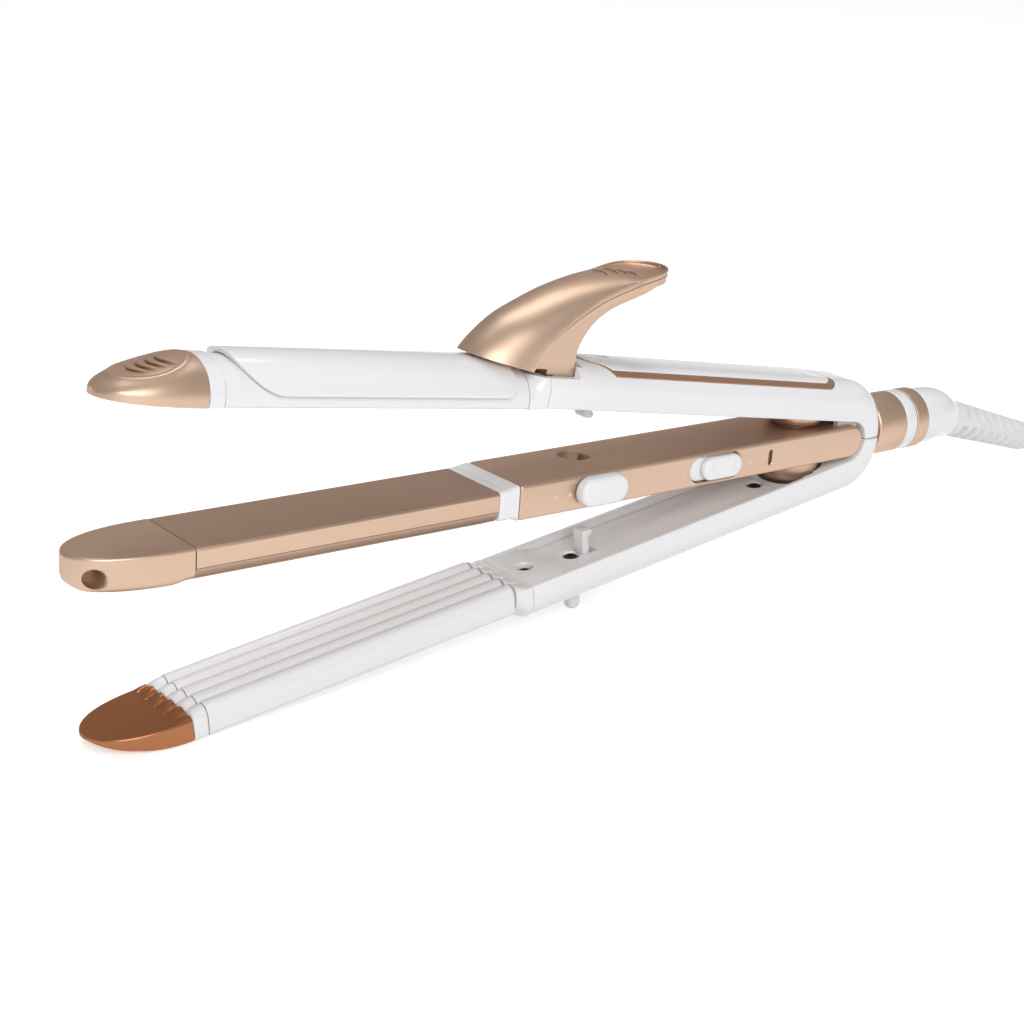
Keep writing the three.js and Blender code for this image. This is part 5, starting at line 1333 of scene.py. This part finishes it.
def hood_over(x, y):
    """The point of the hood's top over a place near its crown."""
    low, high = 3.0, HOOD_END - 0.5
    for _ in range(24):
        middle = (low + high) / 2
        if hood_at(middle)[0] < x:
            low = middle
        else:
            high = middle
    return hood_point(low, math.asin(max(-1, min(1, y / hood_at(low)[4]))))


def make_clamp(settings):
    """The half-round clamp and the thumb lever that lifts it."""
    front, rear, foot, run = CLAMP_FRONT, -136, 3.55, 13.8
    start, top = math.degrees(math.asin((3.6 - SLAB) / CLAMP_RISE)), SLAB + CLAMP_RISE + 1
    wall = (arc(0, SLAB, CLAMP_HALF, CLAMP_RISE, start, 180 - start, 72)
            + arc(0, SLAB, BARREL_HALF + GAP, BARREL_RISE + GAP, 180 - start, start, 72))
    shell = raw_piece("barrel_clamp", pull("x", wall, front, rear))
    nose = [(front + run * (1 - t) ** 1.15, mix(foot, top - 1, t * t)) for t in steps(40)]
    carve(shell, pull("y", [(front + run, 0), *nose, (front, top), (front - 1, top),
                            (front - 1, 0)], -15, 15),
          pull("y", [(rear + 0.5, 3), (rear - 4, 3), *arc(rear - 4, foot + 4, 4, 4, -90, 0, 12),
                     (rear + 0.5, foot + 4)], -15, 15))
    settle(soften(shell, 0.3, 60, 3), "clamp", "white", ["clamp_shell"], turn=DROOP)

    hood = raw_piece("thumb_lever_hood", loft([hood_ring(HOOD_END * i / 96) for i in range(97)]))
    add_on(hood, pull("y", [
        (-124.3, 17.4), (-124.3, SHELF_Z + GAP), (-122, SHELF_Z + GAP), (PIVOT_X - 3.4, PIVOT_Z),
        *arc(PIVOT_X, PIVOT_Z, 2.8, 2.8, 190, 350, 20), (-114.9, 15.7), (-115.1, 19), (-115, 22),
        (-114.6, 24.1), (-113.9, 26), (-112.8, 28), (-111.6, 29.8), (-109.9, 31.7), (-107.8, 33.3),
        (-105.5, 34.8), (-103.1, 36), (-94.1, 39.8), (-90, 42.2), (-91, 43.6), (-102, 40),
        (-112, 35), (-122, 28), (-129, 19.6), (-130.4, 17.4)], -WEB_HALF, WEB_HALF))
    seat = pull("x", half_round(CLAMP_HALF + GAP, CLAMP_RISE + GAP), front, BARREL_REAR + GAP)
    carve(hood, turned(DROOP, seat), bar(PIVOT_X, PIVOT_Z, PIN_BORE, HALF_W),
          block(-136, -124.6, -HALF_W, HALF_W, 0, SHELF_Z + GAP + 0.4))
    settle(hood, "clamp", "rose", ["thumb_lever"], 40)

    walk = steps(90, 0.35, HOOD_END)
    rim = [hood_point(s, -math.pi / 2 + 0.03) for s in walk]
    under = [hood_side(s, 0.42) for s in walk if s > 2]
    for name, line, radius in (("lever_rim", rim, 0.5), ("lever_line", under, 0.22)):
        beads(name, [line + [(x, -y, z) for x, y, z in line[::-1]]], "clamp", radius)

    def grip(i, k):
        x, y, z = hood_over(-105.2 + 3.6 * i + 1.1 * (1 - k * k), 3.2 * k)
        return x, y, z + 0.25

    beads("lever_grips", crescents(settings, grip), "clamp", 0.6)


# ---- carried-over nodes
def finish_hidden():
    """Finishes for the pins, springs and heater, which keep their own shape."""
    for name, paint in (("hinge_pin", "steel"), ("lever_pin", "steel"),
                        ("upper_opening_spring", "steel"), ("lower_opening_spring", "steel"),
                        ("plate_heater", "dark")):
        for place in frame["nodes"][name].material_slots:
            place.material = MATERIALS[paint]


# ---- stage
FLOOR_REACH = 9.0
FLOOR_GLOW = 0.5
SKY_LEVEL = 0.46
SKY_FALL = -0.04
LAMP_AIM = (0, 0, 0.03)


def soft_lamp(name, place, size, power):
    """A rectangular lamp that points at the object."""
    data = bpy.data.lights.new(name, "AREA")
    data.shape = "RECTANGLE"
    data.size, data.size_y = size
    data.energy = power
    lamp = add_object(name, data)
    lamp.location = place
    lamp.rotation_euler = (Vector(LAMP_AIM) - Vector(place)).to_track_quat("-Z", "Y").to_euler()


def make_floor():
    """A wide pale floor, which goes on to white behind the object."""
    r = FLOOR_REACH
    floor = mesh_piece("studio_floor", [(-r, -r, 0), (r, -r, 0), (r, r, 0), (-r, r, 0)], (),
                       [(0, 1, 2, 3)])
    paint = bpy.data.materials.new("Studio floor")
    paint.use_nodes = True
    tree = paint.node_tree
    for key, value in (("Base Color", (0.86, 0.86, 0.86, 1)), ("Roughness", 0.9),
                       ("Specular IOR Level", 0.0), ("Emission Color", (1, 1, 1, 1))):
        tree.nodes["Principled BSDF"].inputs[key].default_value = value
    add_nodes(tree, {"rays": "ShaderNodeLightPath", "most": maths("MAXIMUM"),
                     "also": maths("MAXIMUM"), "glow": maths("MULTIPLY", b=FLOOR_GLOW)})
    join(tree, "rays.Is Camera Ray > most.0", "rays.Is Glossy Ray > most.1",
         "most.0 > also.0", "rays.Is Transmission Ray > also.1", "also.0 > glow.0",
         "glow.0 > Principled BSDF.Emission Strength")
    floor.data.materials.append(paint)


def make_world(level):
    """Plain studio surroundings, a little greyer above and behind, and white to the camera."""
    world = bpy.data.worlds.new("Studio")
    bpy.context.scene.world = world
    world.use_nodes = True
    tree = world.node_tree
    tree.nodes["Background"].inputs["Color"].default_value = (1, 1, 1, 1)
    add_nodes(tree, {
        "place": "ShaderNodeTexCoord",
        "split": "ShaderNodeSeparateXYZ",
        "up": maths("MULTIPLY_ADD", b=SKY_FALL, c=SKY_LEVEL),
        "away": maths("MULTIPLY_ADD", b=SKY_FALL),
        "level": maths("MULTIPLY", b=level),
        "rays": "ShaderNodeLightPath",
        "white": ("ShaderNodeMix", {"B": 1.0})})
    join(tree, "place.Generated > split.0", "split.Z > up.0", "split.Y > away.0",
         "up.0 > away.2", "away.0 > level.0", "level.0 > white.A",
         "rays.Is Camera Ray > white.Factor", "white.Result > Background.Strength")


def make_camera():
    """The photograph's camera, held in the middle arm's own frame."""
    data = bpy.data.cameras.new("Camera")
    data.lens, data.sensor_width = 73.11, 36
    data.clip_start, data.clip_end = 0.01, 50
    camera = add_object("Camera", data)
    turn = MIDDLE.to_3x3() * 1000
    right = turn @ Vector((0.78304466, -0.61781986, 0.0716915))
    down = turn @ Vector((-0.14778201, -0.29678014, -0.94344159))
    ahead = turn @ Vector((0.60415357, 0.72816218, -0.32369477))
    place = MIDDLE @ Vector((-468.2208, -416.969, 178.1805))
    camera.matrix_world = (Matrix.Translation(place)
                           @ Matrix((right, -down, -ahead)).transposed().to_4x4())
    bpy.context.scene.camera = camera


def make_stage(settings):
    """Floor, surroundings, lamps and camera."""
    level = settings.lamp_level
    make_floor()
    make_world(level)
    soft_lamp("Key", (-0.6, -1.1, 0.8), (0.9, 0.9), 12.5 * level)
    soft_lamp("Top", (0.25, 0.35, 1.3), (0.8, 0.6), 4.5 * level)
    make_camera()
    bpy.context.scene.view_settings.view_transform = "Standard"


# ---- operators
def ready(context):
    """The user's settings, with the finishes made."""
    settings = context.scene.styler
    if not MATERIALS:
        make_materials(settings)
    return settings


class STYLER_OT_middle_arm(bpy.types.Operator):
    """Build the middle arm: housing, collar, plates, tip, cups and rear rings"""

    bl_idname = "styler.middle_arm"
    bl_label = "Middle arm and cord outlet"

    def execute(self, context):
        settings = ready(context)
        make_housing()
        make_middle_head()
        make_cups()
        make_rear(settings)
        return {"FINISHED"}


class STYLER_OT_switches(bpy.types.Operator):
    """Build the two sliders, the lamp and the printed dots"""

    bl_idname = "styler.switches"
    bl_label = "Switches and marks"

    def execute(self, context):
        ready(context)
        make_switches()
        make_marks()
        return {"FINISHED"}


class STYLER_OT_lower_arm(bpy.types.Operator):
    """Build the lower handle, its cover and screws, and the crimping head"""

    bl_idname = "styler.lower_arm"
    bl_label = "Lower arm"

    def execute(self, context):
        settings = ready(context)
        make_lower_handle()
        make_crimping_head(settings)
        return {"FINISHED"}


class STYLER_OT_upper_arm(bpy.types.Operator):
    """Build the upper handle, trim, panel and the curling barrel"""

    bl_idname = "styler.upper_arm"
    bl_label = "Upper arm"

    def execute(self, context):
        settings = ready(context)
        make_upper_handle()
        make_barrel(settings)
        return {"FINISHED"}


class STYLER_OT_clamp(bpy.types.Operator):
    """Build the clamp and its thumb lever"""

    bl_idname = "styler.clamp"
    bl_label = "Clamp and lever"

    def execute(self, context):
        make_clamp(ready(context))
        return {"FINISHED"}


class STYLER_OT_latches(bpy.types.Operator):
    """Build the two sliding hooks"""

    bl_idname = "styler.latches"
    bl_label = "Latches"

    def execute(self, context):
        ready(context)
        make_latches()
        return {"FINISHED"}


class STYLER_OT_hidden(bpy.types.Operator):
    """Finish the pins, springs and heater"""

    bl_idname = "styler.hidden"
    bl_label = "Pins, springs and heater"

    def execute(self, context):
        ready(context)
        finish_hidden()
        return {"FINISHED"}


class STYLER_OT_stage(bpy.types.Operator):
    """Make the floor, lights, surroundings and camera"""

    bl_idname = "styler.stage"
    bl_label = "Stage"

    def execute(self, context):
        make_stage(ready(context))
        return {"FINISHED"}


OPERATORS = (STYLER_OT_middle_arm, STYLER_OT_switches, STYLER_OT_lower_arm, STYLER_OT_upper_arm,
             STYLER_OT_clamp, STYLER_OT_latches, STYLER_OT_hidden, STYLER_OT_stage)


class STYLER_PT_panel(bpy.types.Panel):
    """Sidebar panel with the sizes, colours and build steps"""

    bl_idname = "STYLER_PT_panel"
    bl_label = "Three-in-one hair styler"
    bl_space_type = "VIEW_3D"
    bl_region_type = "UI"
    bl_category = "Styler"

    def draw(self, context):
        settings = context.scene.styler
        for name in ("rose", "copper", "white", "amber", "ridge_height", "crescents", "windows",
                     "lamp_level"):
            self.layout.prop(settings, name)
        for operator in OPERATORS:
            self.layout.operator(operator.bl_idname)


def register():
    for kind in (StylerSettings, *OPERATORS, STYLER_PT_panel):
        bpy.utils.register_class(kind)
    bpy.types.Scene.styler = PointerProperty(type=StylerSettings)


def unregister():
    del bpy.types.Scene.styler
    for kind in (STYLER_PT_panel, *reversed(OPERATORS), StylerSettings):
        bpy.utils.unregister_class(kind)


def main():
    """Builds the styler round its frame."""
    register()
    bpy.ops.styler.middle_arm()
    bpy.ops.styler.switches()
    bpy.ops.styler.lower_arm()
    bpy.ops.styler.upper_arm()
    bpy.ops.styler.clamp()
    bpy.ops.styler.latches()
    bpy.ops.styler.hidden()
    bpy.ops.styler.stage()


if __name__ == "__main__":
    main()
